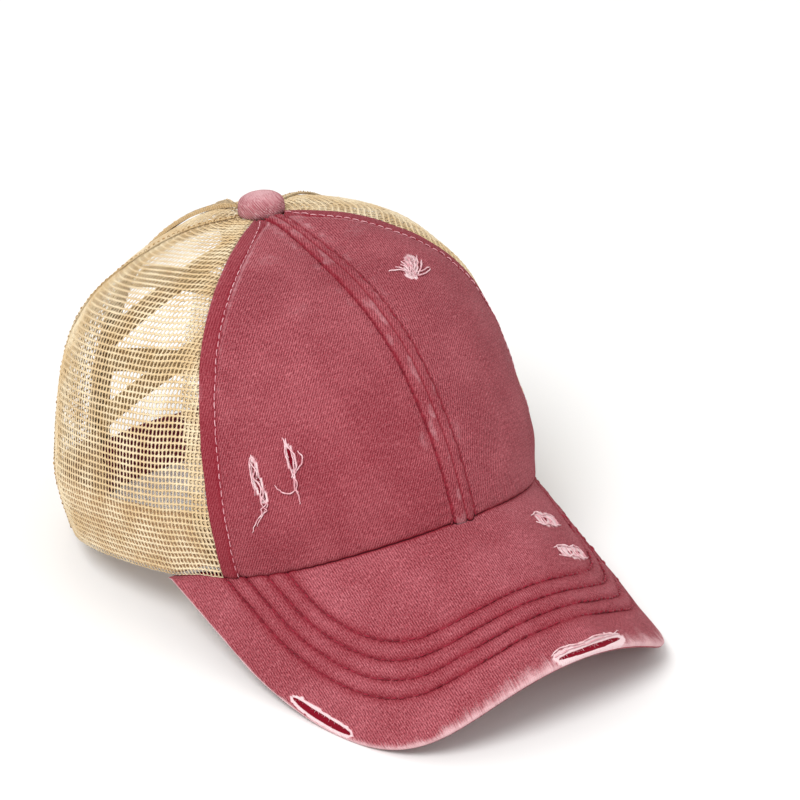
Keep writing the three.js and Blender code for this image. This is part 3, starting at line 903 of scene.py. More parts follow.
@dataclass(frozen=True)
class PatchLeather:
    """Bare brown leather with a fine grain and darker worked edges."""

    name: str
    base: str = "8E4E28"
    light: str = "A9653A"
    shade: str = "5E2E14"

    def build(self) -> bpy.types.Material:
        """Makes the material."""
        make, shader = plain_material(self.name)
        solid = make.solid_place()
        grain = make.node("ShaderNodeTexVoronoi", {"Vector": solid, "Scale": 1 / 0.9}, feature="DISTANCE_TO_EDGE")
        cell = make.ramp(grain.outputs["Distance"], 0.0, 0.22)
        cloud = make.ramp(make.noise(solid, 9.0, 4.0, 0.6), 0.35, 0.68)
        colour = make.mix(cloud, self.base, self.light)
        crease = make.times(make.rest_of(cell), 0.4)
        colour = make.mix(crease, colour, self.shade)
        colour = make.mix(make.times(make.attribute("worn"), 0.85), colour, self.shade)
        height = make.maths("MULTIPLY_ADD", make.noise(solid, 0.3, 2.0), 0.3, cell)
        material = finish_shader(make, shader, colour, height, 0.08, 0.5, strength=0.7)
        rough = make.ramp(cloud, -0.4, 1.6, smooth=False)
        make.tree.links.new(make.maths("MULTIPLY_ADD", rough, 0.25, 0.36), shader.inputs["Roughness"])
        return material


class Finishes:
    """Every material of the cap, made once."""

    def __init__(self) -> None:
        """Builds the shared groups and the materials."""
        effects = SharedEffects()
        self.panel = WashedTwill("rose_twill").build(effects)
        self.brim = WashedTwill(
            "rose_brim_twill", base="9C3642", light="BE5F6A", worn="D6ACB0", bare="E0C4C7",
            slant=0.08, pitch=0.92, ridge=0.5, grain=0.55,
        ).build(effects)
        self.button = WashedTwill(
            "worn_button_twill", base="A24E58", light="BC7880", deep="74303A", fleck="F0D4D4",
            worn="D6A8AC", ridge=0.06, grain=0.6,
        ).build(effects)
        self.closure = WashedTwill(
            "closure_twill", base="7A1A2E", light="8E2F40", deep="4E0C1C", fleck="B4606E", worn="C07A88"
        ).build(effects)
        self.net = NetYarn("net_yarn").build()
        self.tape = HerringboneTape("herringbone_tape").build()
        self.elastic = PlainCloth("elastic_webbing", "E0C08A", "EBD3A6", "C09A62", thread=0.8, rise=0.1).build()
        self.band = PlainCloth("sweatband_cotton", "D9B58C", "E6C9A4", "B98F66", thread=0.55, rise=0.08).build()
        self.dark_thread = SewingThread("dark_rose_thread", "6E0F20", "8C2032").build()
        self.rose_thread = SewingThread("rose_thread", "C8848E", "DDA9B0").build()
        self.pale_thread = SewingThread("pale_thread", "CF959D", "E6C4C8").build()
        self.tan_thread = SewingThread("tan_thread", "CBA878", "E0C49A").build()
        self.brown_thread = SewingThread("brown_thread", "8E6A3C", "B48E5C").build()
        self.leather = PatchLeather("patch_leather").build()


def new_mesh(
    name: str,
    points: np.ndarray,
    faces: np.ndarray,
    flat: np.ndarray | None = None,
    marks: dict[str, np.ndarray] | None = None,
    crease: float = CREASE,
) -> bpy.types.Object:
    """Makes a mesh object from arrays.

    Args:
        name: the object's name.
        points: corners in millimetres of the frame.
        faces: four corner numbers a face, counter-clockwise from outside.
        flat: place of each corner on the flat cut, in millimetres.
        marks: named numbers, one a corner.
        crease: edges sharper than this many degrees stay sharp.

    Returns:
        The object, linked to the scene.
    """
    mesh = bpy.data.meshes.new(name)
    faces = np.ascontiguousarray(faces, np.int32)
    mesh.vertices.add(len(points))
    mesh.vertices.foreach_set("co", np.ascontiguousarray(points * MM, np.float32).ravel())
    mesh.loops.add(faces.size)
    mesh.loops.foreach_set("vertex_index", faces.ravel())
    mesh.polygons.add(len(faces))
    mesh.polygons.foreach_set("loop_start", np.arange(0, faces.size, faces.shape[1], dtype=np.int32))
    mesh.update(calc_edges=True)
    if flat is not None:
        uv = flat[faces.ravel()] / FLAT_UNIT
        mesh.uv_layers.new(name="flat").data.foreach_set("uv", np.ascontiguousarray(uv, np.float32).ravel())
    for mark, values in (marks or {}).items():
        layer = mesh.attributes.new(mark, "FLOAT", "POINT")
        layer.data.foreach_set("value", np.ascontiguousarray(values, np.float32).ravel())
    mesh.shade_smooth()
    mesh.set_sharp_from_angle(angle=math.radians(crease))
    made = bpy.data.objects.new(name, mesh)
    bpy.context.scene.collection.objects.link(made)
    return made


def grid_faces(rows: int, columns: int, start: int = 0) -> np.ndarray:
    """Faces of a grid of corners whose rows follow each other."""
    first = (np.arange(rows - 1)[:, None] * columns + np.arange(columns - 1)).ravel() + start
    return np.stack([first, first + 1, first + columns + 1, first + columns], -1)


def ring_faces(rings: int, sides: int) -> np.ndarray:
    """Faces between closed rings of corners that follow each other."""
    k = np.arange(rings - 1)[:, None] * sides
    j, n = np.arange(sides)[None, :], (np.arange(sides)[None, :] + 1) % sides
    return np.stack([k + j, k + n, k + sides + n, k + sides + j], -1).reshape(-1, 4)


def facing_out(points: np.ndarray, faces: np.ndarray) -> np.ndarray:
    """Faces of a closed mesh, turned round if its signed volume is negative."""
    total = 0.0
    for k in range(1, faces.shape[1] - 1):
        a, b, c = points[faces[:, 0]], points[faces[:, k]], points[faces[:, k + 1]]
        total += float((a * np.cross(b, c)).sum())
    return faces[:, ::-1] if total < 0 else faces


@dataclass
class Layer:
    """A grid of cloth: its outer and inner faces, its flat cut and its marks."""

    outer: np.ndarray
    inner: np.ndarray
    flat: np.ndarray
    marks: dict[str, np.ndarray] = field(default_factory=dict)

    def build(self, name: str, material: bpy.types.Material, crease: float = CREASE) -> bpy.types.Object:
        """Makes the closed piece.

        Args:
            name: the piece's name.
            material: its finish.
            crease: edges sharper than this many degrees stay sharp.

        Returns:
            The object.
        """
        rows, columns = self.outer.shape[:2]
        size = rows * columns
        points = np.concatenate([self.outer.reshape(-1, 3), self.inner.reshape(-1, 3)])
        front = grid_faces(rows, columns)
        back = grid_faces(rows, columns, size)[:, ::-1]
        grid = np.arange(size).reshape(rows, columns)
        rim = np.concatenate([grid[0, :], grid[1:, -1], grid[-1, -2::-1], grid[-2:0:-1, 0]])
        ahead = np.roll(rim, -1)
        wall = np.stack([ahead, rim, rim + size, ahead + size], -1)
        faces = np.concatenate([front, back, wall])
        faces = facing_out(points, faces)
        flat = np.concatenate([self.flat.reshape(-1, 2)] * 2)
        marks = {key: np.concatenate([value.ravel(), value.ravel() * 0]) for key, value in self.marks.items()}
        made = new_mesh(name, points, faces, flat, marks, crease)
        made.data.materials.append(material)
        return made


def flat_cut(points: np.ndarray) -> np.ndarray:
    """Place of each grid corner on the flat cut, in millimetres.

    Across is the length along the grid's row from its middle column, and up the length
    along the grid's column from its first row.

    Args:
        points: rows by columns of corners.

    Returns:
        Across and up for each corner.
    """
    middle = points.shape[1] // 2
    steps = np.linalg.norm(np.diff(points, axis=1), axis=-1)
    across = np.concatenate([np.zeros((len(points), 1)), np.cumsum(steps, axis=1)], axis=1)
    across -= across[:, middle : middle + 1]
    steps = np.linalg.norm(np.diff(points, axis=0), axis=-1)
    up = np.concatenate([np.zeros((1, points.shape[1])), np.cumsum(steps, axis=0)])
    return np.stack([across, up], -1)


def tube(path: np.ndarray, radius: np.ndarray | float, sides: int = 6) -> tuple[np.ndarray, np.ndarray]:
    """A closed round strand along a path.

    Args:
        path: its middle line.
        radius: one radius, or one a point.
        sides: corners of its cross section.

    Returns:
        Points and four-cornered faces.
    """
    run = unit(np.gradient(path, axis=0))
    helper = np.array([0.0, 0.0, 1.0]) if abs(run[:, 2]).mean() < 0.8 else np.array([1.0, 0.0, 0.0])
    side = unit(np.cross(run, helper))
    up = np.cross(side, run)
    radius = np.broadcast_to(np.asarray(radius, float), (len(path),)).copy()
    turns = np.arange(sides) * 2 * math.pi / sides
    ring = np.cos(turns)[None, :, None] * side[:, None] + np.sin(turns)[None, :, None] * up[:, None]
    points = (path[:, None] + ring * radius[:, None, None]).reshape(-1, 3)
    ends = np.stack([path[0] - run[0] * radius[0] * 0.5, path[-1] + run[-1] * radius[-1] * 0.5])
    faces = ring_faces(len(path), sides)
    low, high, last = len(points), len(points) + 1, (len(path) - 1) * sides
    for a in range(0, sides, 2):
        b, c = a + 1, (a + 2) % sides
        faces = np.vstack([faces, [low, c, b, a], [high, last + a, last + b, last + c]])
    points = np.vstack([points, ends])
    return points, facing_out(points, faces)


def joined(parts: list[tuple[np.ndarray, np.ndarray]]) -> tuple[np.ndarray, np.ndarray]:
    """Several point and face arrays as one."""
    start, points, faces = 0, [], []
    for p, f in parts:
        points.append(p)
        faces.append(f + start)
        start += len(p)
    return np.concatenate(points), np.concatenate(faces)


def eased(corners: np.ndarray, steps: int = 6) -> np.ndarray:
    """A smooth path through corners.

    Args:
        corners: places that it goes through.
        steps: points for each leg.

    Returns:
        The path.
    """
    corners = np.asarray(corners, float)
    whole = np.vstack([2 * corners[0] - corners[1], corners, 2 * corners[-1] - corners[-2]])
    t = np.linspace(0, 1, steps, endpoint=False)[:, None]
    legs = []
    for a, b, c, d in zip(whole[:-3], whole[1:-2], whole[2:-1], whole[3:]):
        legs.append(0.5 * (2 * b + (c - a) * t + (2 * a - 5 * b + 4 * c - d) * t**2 + (3 * b - a - 3 * c + d) * t**3))
    return np.vstack([*legs, corners[-1:]])


@dataclass
class Cloth:
    """The outer face of a cloth in the frame, on which threads are laid by its flat cut."""

    outer: np.ndarray
    facing: np.ndarray
    flat: np.ndarray

    def over(self, path: np.ndarray) -> np.ndarray:
        """Places of a path that is given on the flat cut.

        Args:
            path: across, up and lift above the cloth, in millimetres.

        Returns:
            Points of the frame.
        """
        rows, columns = self.flat.shape[:2]
        placed = []
        for across, up, lift in path:
            away = np.hypot(self.flat[..., 0] - across, self.flat[..., 1] - up)
            i, j = np.unravel_index(np.argmin(away), away.shape)
            i, j = min(max(i, 1), rows - 2), min(max(j, 1), columns - 2)
            cut = np.stack([self.flat[i, j + 1] - self.flat[i, j - 1], self.flat[i + 1, j] - self.flat[i - 1, j]], -1)
            share = np.clip(np.linalg.solve(cut, np.array([across, up]) - self.flat[i, j]), -1, 1)
            legs = np.stack([self.outer[i, j + 1] - self.outer[i, j - 1], self.outer[i + 1, j] - self.outer[i - 1, j]])
            placed.append(self.outer[i, j] + share @ legs + self.facing[i, j] * lift)
        return np.array(placed)


def wear_band(distance: np.ndarray, width: float) -> np.ndarray:
    """Wear that is 1 at an edge and fades over a width."""
    return np.exp(-((np.maximum(distance, 0) / width) ** 1.4))


def run_tree(carrier: bpy.types.Object, tree: bpy.types.NodeTree, inputs: dict[str, object]) -> bpy.types.Object:
    """Runs a Geometry Nodes tree on an object and keeps the result as a plain mesh.

    Args:
        carrier: the object, whose mesh is the tree's geometry.
        tree: the tree.
        inputs: the tree's named inputs.

    Returns:
        The same object with the result as its mesh.
    """
    modifier = carrier.modifiers.new("nodes", "NODES")
    modifier.node_group = tree
    for name, value in inputs.items():
        modifier[tree.interface.items_tree[name].identifier] = value
    carrier.update_tag()
    bpy.context.view_layer.update()
    evaluated = carrier.evaluated_get(bpy.context.evaluated_depsgraph_get())
    made = bpy.data.meshes.new_from_object(evaluated)
    carrier.modifiers.remove(modifier)
    places = np.empty(3 * len(made.vertices), np.float32)
    made.vertices.foreach_get("co", places)
    places[2::3] = np.maximum(places[2::3], CLEARANCE)
    made.vertices.foreach_set("co", places)
    carrier.data = made
    made.name = carrier.name
    made.shade_smooth()
    return carrier


class NetCell:
    """One mesh of the net: a frame of yarn round a hole."""

    corners = 8
    crossing_half = 0.28
    strand_half = 0.2

    def __init__(self, name: str, width: float, height: float, hole: tuple[float, float], slant: float) -> None:
        """Makes the cell as a hidden object.

        Args:
            name: the object's name.
            width: pitch along the row.
            height: pitch up the column.
            hole: half width and half height of the hole.
            slant: how far the hole leans for each millimetre up.
        """
        turns = np.arange(self.corners) * 2 * math.pi / self.corners
        square = np.stack([np.sign(np.round(np.cos(turns), 6)), np.sign(np.round(np.sin(turns), 6))], -1)
        outer = square * np.array([width, height]) / 2
        bulge = np.stack([np.cos(turns), np.sin(turns)], -1)
        bulge = np.sign(bulge) * np.abs(bulge) ** 0.85
        inner = bulge * np.array(hole)
        inner[:, 0] += inner[:, 1] * slant
        across = np.where(np.abs(square[:, 1]) > 0.5, self.crossing_half, self.strand_half)
        parts = [np.column_stack([outer, across]), np.column_stack([inner, np.zeros(self.corners)])]
        parts.append(np.column_stack([outer, -across]))
        points = np.concatenate(parts)
        k = np.arange(self.corners)
        n = (k + 1) % self.corners
        hole_ring, back_ring = self.corners, 2 * self.corners
        front = np.stack([k, n, n + hole_ring, k + hole_ring], -1)
        back = np.stack([k + back_ring, k + hole_ring, n + hole_ring, n + back_ring], -1)
        self.object = new_mesh(name, points, np.concatenate([front, back]), crease=NO_CREASE)


class NetTree:
    """Geometry Nodes that knit cells over a sheet of cloth, by its flat cut. Sizes are in metres."""

    weld = 2e-6
    edge_half = 0.0001
    looseness = 0.0007
    loose_scale = 620.0

    def __init__(self) -> None:
        """Builds the tree."""
        self.tree = bpy.data.node_groups.new("knitted_net", "GeometryNodeTree")
        make = GeometryMaker(self.tree)
        inputs = {
            "Geometry": "Geometry",
            "Tall Cell": "Object",
            "Short Cell": "Object",
            "Pitch": 0.0018,
            "Tall Height": 0.0027,
            "Short Height": 0.0024,
            "Columns": 90,
            "Row Pairs": 40,
            "Shift Across": 0.0,
            "Shift Up": 0.0,
            "Flat Unit": FLAT_UNIT * MM,
            "Material": "Material",
        }
        given = make.interface(inputs, "Geometry", "Geometry")
        pair = make.maths("ADD", given["Tall Height"], given["Short Height"])
        wide = make.maths("MULTIPLY", given["Pitch"], make.maths("SUBTRACT", given["Columns"], 1.0))
        high = make.maths("MULTIPLY", pair, make.maths("SUBTRACT", given["Row Pairs"], 1.0))
        size = {"Size X": wide, "Size Y": high, "Vertices X": given["Columns"], "Vertices Y": given["Row Pairs"]}
        grid = make.node("GeometryNodeMeshGrid", size).outputs["Mesh"]
        half = make.maths("MULTIPLY", high, 0.5)
        join = make.node("GeometryNodeJoinGeometry")
        low = make.maths("MULTIPLY_ADD", given["Tall Height"], 0.5, half)
        upper = make.maths("MULTIPLY_ADD", given["Short Height"], 0.5, half)
        upper = make.maths("ADD", upper, given["Tall Height"])
        for cell, rise in (("Tall Cell", low), ("Short Cell", upper)):
            lift = make.maths("ADD", rise, given["Shift Up"])
            move = make.vector(X=given["Shift Across"], Y=lift)
            moved = make.node("GeometryNodeTransform", {"Geometry": grid, "Translation": move}).outputs[0]
            kept = self._sampled(make, given, "FLOAT", "inside")
            inside = make.maths("GREATER_THAN", kept.outputs["Value"], 0.0)
            use = make.both(inside, kept.outputs["Is Valid"])
            make.tree.links.new(make.copies(given[cell], Points=moved, Selection=use), join.inputs[0])
        real = make.node("GeometryNodeRealizeInstances", {0: join.outputs[0]}).outputs[0]
        weld = make.node("GeometryNodeMergeByDistance", {"Geometry": real, "Distance": self.weld}).outputs[0]
        count = make.node("GeometryNodeInputMeshEdgeNeighbors").outputs["Face Count"]
        open_edge = make.node("FunctionNodeCompare", {2: count, 3: 1}, data_type="INT", operation="EQUAL").outputs[0]
        edge = make.node("GeometryNodeFieldOnDomain", {0: open_edge}, domain="EDGE", data_type="BOOLEAN").outputs[0]
        place = make.split(make.place())
        thin = make.maths("MULTIPLY", make.maths("SIGN", place[2]), self.edge_half)
        level = make.vector(X=place[0], Y=place[1], Z=thin)
        thinned = {"Geometry": weld, "Selection": edge, "Position": level}
        closed = make.node("GeometryNodeSetPosition", thinned).outputs[0]
        front = make.maths("GREATER_THAN", place[2], 0.0)
        down = make.vector(Z=-2 * self.edge_half)
        wall = {"Mesh": closed, "Selection": make.both(open_edge, front), "Offset": down, "Offset Scale": 1.0}
        closed = make.node("GeometryNodeExtrudeMesh", wall, mode="EDGES").outputs[0]
        closed = make.node("GeometryNodeMergeByDistance", {"Geometry": closed, "Distance": self.weld}).outputs[0]
        stored = {"Geometry": closed, "Name": "flat", "Value": self._cut(make, given)}
        closed = make.node("GeometryNodeStoreNamedAttribute", stored, data_type="FLOAT2", domain="CORNER").outputs[0]
        point = self._sampled(make, given, "FLOAT_VECTOR", "place").outputs["Value"]
        facing = self._sampled(make, given, "FLOAT_VECTOR", "facing").outputs["Value"]
        rise = make.scaled(facing, place[2])
        over = make.vectors("ADD", point, rise)
        inputs = {"Vector": over, "Scale": self.loose_scale, "Detail": 1.0}
        noise = make.node("ShaderNodeTexNoise", inputs).outputs["Color"]
        loose = make.vectors("SUBTRACT", noise, (0.5, 0.5, 0.5))
        loose = make.scaled(loose, self.looseness)
        over = make.vectors("ADD", over, loose)
        part = make.split(over)
        floor = make.maths("MAXIMUM", part[2], 0.0)
        over = make.vector(X=part[0], Y=part[1], Z=floor)
        laid = make.node("GeometryNodeSetPosition", {"Geometry": closed, "Position": over}).outputs[0]
        done = make.node("GeometryNodeSetMaterial", {"Geometry": laid, "Material": given["Material"]}).outputs[0]
        make.node("NodeGroupOutput", {0: done})

    @staticmethod
    def _cut(make: GeometryMaker, given: bpy.types.NodeOutputs) -> bpy.types.NodeSocket:
        """The flat cut's UV at the point's own place in the flat net."""
        return make.scaled(make.place(), make.maths("DIVIDE", 1.0, given["Flat Unit"]))

    def _sampled(self, make: GeometryMaker, given: bpy.types.NodeOutputs, kind: str, value: str) -> bpy.types.Node:
        """Reads the cloth where the flat net's point lies.

        Args:
            make: the tree's maker.
            given: the tree's inputs.
            kind: data type of the value.
            value: inside, or place or facing of the cloth.

        Returns:
            The sampling node.
        """
        sources = {
            "place": make.place,
            "facing": lambda: make.node("GeometryNodeInputNormal").outputs[0],
            "inside": lambda: make.named("inside", "FLOAT"),
        }
        flat = make.named("flat", "FLOAT_VECTOR")
        node = make.node("GeometryNodeSampleUVSurface", data_type=kind)
        wanted = {"Mesh": given["Geometry"], "Value": sources[value](), "Sample UV": self._cut(make, given)}
        for socket in node.inputs:
            if socket.enabled and socket.name in wanted:
                make.tree.links.new(wanted[socket.name], socket)
            elif socket.enabled and "UV" in socket.name:
                make.tree.links.new(flat, socket)
        return node


class StitchTree:
    """Geometry Nodes that set stitches along a path at an even spacing."""

    def __init__(self) -> None:
        """Builds the tree."""
        self.tree = bpy.data.node_groups.new("stitch_run", "GeometryNodeTree")
        make = GeometryMaker(self.tree)
        inputs = {
            "Geometry": "Geometry",
            "Stitch": "Object",
            "Spacing": 0.003,
            "Wander": 0.0001,
            "Seed": 1,
            "Material": "Material",
        }
        given = make.interface(inputs, "Geometry", "Geometry")
        curve = make.node("GeometryNodeMeshToCurve", {0: given["Geometry"]}).outputs[0]
        even = make.node("GeometryNodeResampleCurve")
        mode = even.inputs.get("Mode")
        if mode is not None:
            mode.default_value = "Length"
        else:
            even.mode = "LENGTH"
        make.tree.links.new(curve, even.inputs["Curve"])
        make.tree.links.new(given["Spacing"], even.inputs["Length"])
        along = make.node("GeometryNodeInputTangent").outputs[0]
        lean = make.random((-0.04, -0.08, -0.09), (0.04, 0.08, 0.09), given["Seed"])
        turned = make.turned(make.named("facing", "FLOAT_VECTOR"), along, lean)
        vary = make.random((0.86, 0.9, 0.85), (1.06, 1.1, 1.15), given["Seed"])
        placed = make.copies(given["Stitch"], Points=even.outputs[0], Rotation=turned, Scale=vary)
        shift = make.scaled(make.random((-1.0,) * 3, (1.0,) * 3, given["Seed"]), given["Wander"])
        placed = make.node("GeometryNodeTranslateInstances", {0: placed, "Translation": shift}).outputs[0]
        make.close(placed, given["Material"])


class FibreTree:
    """Geometry Nodes that scatter loose fibres where the cloth is frayed."""

    def __init__(self) -> None:
        """Builds the tree."""
        self.tree = bpy.data.node_groups.new("frayed_fibres", "GeometryNodeTree")
        make = GeometryMaker(self.tree)
        inputs = {
            "Geometry": "Geometry",
            "Fibre": "Object",
            "Density": 4e6,
            "Shortest": 0.5,
            "Longest": 1.3,
            "Spin": 0.6,
            "Seed": 3,
            "Material": "Material",
        }
        given = make.interface(inputs, "Geometry", "Geometry")
        seed = given["Seed"]
        thick = make.maths("MULTIPLY", make.named("frayed", "FLOAT"), given["Density"])
        inputs = {"Mesh": given["Geometry"], "Density": thick, "Seed": seed}
        scatter = make.node("GeometryNodeDistributePointsOnFaces", distribute_method="RANDOM")
        for name, value in inputs.items():
            make.tree.links.new(value, scatter.inputs[name])
        low = make.vector(X=-0.5, Y=-0.45, Z=make.maths("MULTIPLY", given["Spin"], -1.0))
        high = make.vector(X=0.5, Y=0.12, Z=given["Spin"])
        lie = make.named("lie", "FLOAT_VECTOR")
        turned = make.turned(scatter.outputs["Normal"], lie, make.random(low, high, seed))
        inputs = {2: given["Shortest"], 3: given["Longest"], "Seed": seed}
        long = make.node("FunctionNodeRandomValue", inputs, data_type="FLOAT").outputs[1]
        vary = make.vector(X=long, Y=1.0, Z=long)
        placed = make.copies(given["Fibre"], Points=scatter.outputs["Points"], Rotation=turned, Scale=vary)
        make.close(placed, given["Material"])


class StitchKind(Enum):
    """Length of a stitch and half its thickness, in millimetres."""

    PLAIN = (2.1, 0.26)
    SMALL = (1.6, 0.22)
    LONG = (2.7, 0.19)
    CORDED = (2.9, 0.42)
    DOT = (1.2, 0.24)


class Workshop:
    """What every sub-assembly needs: the forms, the finishes, the trees and the small hidden pieces."""

    def __init__(self) -> None:
        """Makes the shared things."""
        self.form = CapForm()
        self.brim_form = BrimForm(self.form)
        self.finishes = Finishes()
        self.net_tree = NetTree()
        self.stitch_tree = StitchTree()
        self.fibre_tree = FibreTree()
        self.hidden: list[bpy.types.Object] = []
        self.stitches = {kind: self._stitch(f"{kind.name.lower()}_stitch", *kind.value) for kind in StitchKind}
        self.fibre = self._fibre()
        self.pitch, self.tall, self.short = 1.8, 2.72, 2.4
        self.tall_cell = self.keep(NetCell("tall_cell", self.pitch, self.tall, (0.63, 1.04), 0.08).object)
        self.short_cell = self.keep(NetCell("short_cell", self.pitch, self.short, (0.63, 0.85), 0.08).object)

    def keep(self, made: bpy.types.Object) -> bpy.types.Object:
        """Notes an object that only serves the trees."""
        self.hidden.append(made)
        return made

    def clear(self) -> None:
        """Removes the objects that only served the trees."""
        for made in self.hidden:
            bpy.data.objects.remove(made)
        self.hidden.clear()

    def _stitch(self, name: str, length: float, radius: float) -> bpy.types.Object:
        """One stitch: a short strand whose ends dip into the cloth."""
        share = np.linspace(-1, 1, 6)
        path = np.stack([share * length / 2, share * 0, radius * (0.75 - 1.5 * share**4)], -1)
        points, faces = tube(path, radius * (1 - 0.35 * share**4), 6)
        return self.keep(new_mesh(name, points, faces, crease=NO_CREASE))

    def _fibre(self) -> bpy.types.Object:
        """One loose fibre: a thin strand that rises and bends over."""
        share = np.linspace(0, 1, 5)
        path = np.stack([share * 2.2, 0.25 * np.sin(share * 3.0), 0.15 + 0.55 * np.sin(share * 2.2)], -1)
        points, faces = tube(path, 0.1 * (1 - 0.45 * share), 4)
        return self.keep(new_mesh("fibre_shape", points, faces, crease=NO_CREASE))

    def sew(
        self,
        name: str,
        runs: list[tuple[np.ndarray, np.ndarray]],
        material: bpy.types.Material,
        slot: str,
        spacing: float = 3.0,
        kind: StitchKind = StitchKind.PLAIN,
        wander: float = 0.12,
    ) -> None:
        """Sews stitches along runs.

        Args:
            name: the piece's name.
            runs: paths in millimetres of the frame, each with its outward directions.
            material: the thread.
            slot: a slot name for its finish, handed on to ride.
            spacing: from stitch to stitch.
            kind: which stitch is used.
            wander: how far a stitch strays.
        """
        carrier = bpy.data.meshes.new(name)
        points = np.concatenate([run[0] for run in runs]) * MM
        edges, start = [], 0
        for path, _ in runs:
            k = np.arange(len(path) - 1) + start
            edges.append(np.stack([k, k + 1], -1))
            start += len(path)
        carrier.from_pydata(points.tolist(), np.concatenate(edges).tolist(), [])
        facing = carrier.attributes.new("facing", "FLOAT_VECTOR", "POINT")
        facing.data.foreach_set("vector", np.concatenate([run[1] for run in runs]).astype(np.float32).ravel())
        made = bpy.data.objects.new(name, carrier)
        bpy.context.scene.collection.objects.link(made)
        inputs = {
            "Stitch": self.stitches[kind],
            "Spacing": spacing * MM,
            "Wander": wander * MM,
            "Seed": len(name),
            "Material": material,
        }
        run_tree(made, self.stitch_tree.tree, inputs)
        self.ride(made, slot)

    def fray(
        self,
        name: str,
        grid: np.ndarray,
        frayed: np.ndarray,
        lie: np.ndarray,
        material: bpy.types.Material,
        slot: str,
        density: float = 3.0,
        lengths: tuple[float, float] = (0.5, 1.3),
        spin: float = 0.6,
        seed: int = 3,
    ) -> None:
        """Scatters fibres over a grid of cloth.

        Args:
            name: the piece's name.
            grid: rows by columns of points in millimetres of the frame, facing out.
            frayed: share of the density at each point.
            lie: direction in which the fibres lie at each point.
            material: their finish.
            slot: a slot name for its finish, handed on to ride.
            density: fibres for each square millimetre.
            lengths: shortest and longest, as shares of the fibre's own.
            spin: how far they turn from their lie, in radians.
            seed: fixes their places.
        """
        rows, columns = grid.shape[:2]
        faces = grid_faces(rows, columns)
        kept = faces[frayed.ravel()[faces].max(axis=1) > 0.02]
        used, faces = np.unique(kept, return_inverse=True)
        made = new_mesh(name, grid.reshape(-1, 3)[used], faces.reshape(-1, 4), marks={"frayed": frayed.ravel()[used]})
        layer = made.data.attributes.new("lie", "FLOAT_VECTOR", "POINT")
        layer.data.foreach_set("vector", lie.reshape(-1, 3)[used].astype(np.float32).ravel())
        inputs = {
            "Fibre": self.fibre,
            "Density": density / MM**2,
            "Shortest": lengths[0],
            "Longest": lengths[1],
            "Spin": spin,
            "Seed": seed,
            "Material": material,
        }
        run_tree(made, self.fibre_tree.tree, inputs)
        self.ride(made, slot)

    def threads(
        self, name: str, cloth: Cloth, paths: list[np.ndarray], material: bpy.types.Material, slot: str, radius: float
    ) -> None:
        """Lays loose threads over a cloth.

        Args:
            name: the piece's name.
            cloth: what they lie on.
            paths: corners of each thread: across, up and lift in millimetres.
            material: their finish.
            slot: a slot name for its finish, handed on to ride.
            radius: half their thickness.
        """
        strands = []
        for number, corners in enumerate(paths):
            path = eased(cloth.over(np.asarray(corners, float)), 7)
            path = path + 0.2 * np.stack([ripple(path, 3.0, 7 * number + k) for k in range(3)], -1)
            share = np.linspace(0, 1, len(path))
            strands.append(tube(path, radius * (1.05 - 0.55 * share**3 - 0.35 * (1 - share) ** 6), 6))
        points, faces = joined(strands)
        made = new_mesh(name, np.maximum(points, np.array([-1e9, -1e9, 0.02])), faces, crease=NO_CREASE)
        made.data.materials.append(material)
        self.ride(made, slot)

    @staticmethod
    def ride(made: bpy.types.Object, slot: str, *nodes: str) -> None:
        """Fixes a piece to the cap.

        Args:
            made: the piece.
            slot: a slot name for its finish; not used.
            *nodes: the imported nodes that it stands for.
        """
        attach(made, BODY)
        if nodes:
            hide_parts(*nodes)
        LOG.info("%s: %d corners, %d faces", made.name, len(made.data.vertices), len(made.data.polygons))


def cut_size(base: np.ndarray, flat: np.ndarray) -> tuple[tuple[float, float], float]:
    """Width, length and area of the flat piece of cloth that a panel is cut from.

    Args:
        base: the panel's points as rows by columns, in millimetres.
        flat: its flat cut.

    Returns:
        The width and the length in metres, and the area in square metres.
    """
    across, up = base[:-1, 1:] - base[:-1, :-1], base[1:, :-1] - base[:-1, :-1]
    area = float(np.linalg.norm(np.cross(across, up), axis=-1).sum()) * MM**2
    width = float(np.ptp(flat[..., 0], axis=1).max()) * MM
    length = float(np.ptp(flat[..., 1], axis=0).max()) * MM
    return (width, length), min(area, width * length)


@dataclass
class Tear:
    """A slit in a cloth, given on its flat cut."""

    path: tuple[tuple[float, float], ...]
    half_width: float
    border: float
    depth: float = 0.9

    def inside(self, flat: np.ndarray) -> np.ndarray:
        """How far in from the slit's edge each place lies, and 0 outside it.

        Args:
            flat: places on the flat cut, in millimetres.

        Returns:
            Millimetres.
        """
        return np.clip(-self.outside(flat), 0, None)

    def outside(self, flat: np.ndarray) -> np.ndarray:
        """Distance from the slit's edge, less than 0 inside it. The slit narrows to its ends."""
        path = np.array(self.path)
        run = path[-1] - path[0]
        share = np.clip((flat - path[0]) @ run / max(float(run @ run), 1e-9), 0, 1)
        return path_distance(flat, path) - self.half_width * np.clip(4 * share * (1 - share), 0, 1) ** 0.3

    def worn(self, flat: np.ndarray) -> np.ndarray:
        """Wear round the slit."""
        out = self.outside(flat) + 0.14 * self.border * ripple(flat, 2.6, 17)
        return 2.0 * (1 - smoothstep(out, self.border * 0.6, self.border * 0.95))


def hem_way(base: np.ndarray) -> np.ndarray:
    """Direction down each column of a grid at its first row."""
    return unit(base[:1] - base[3:4])


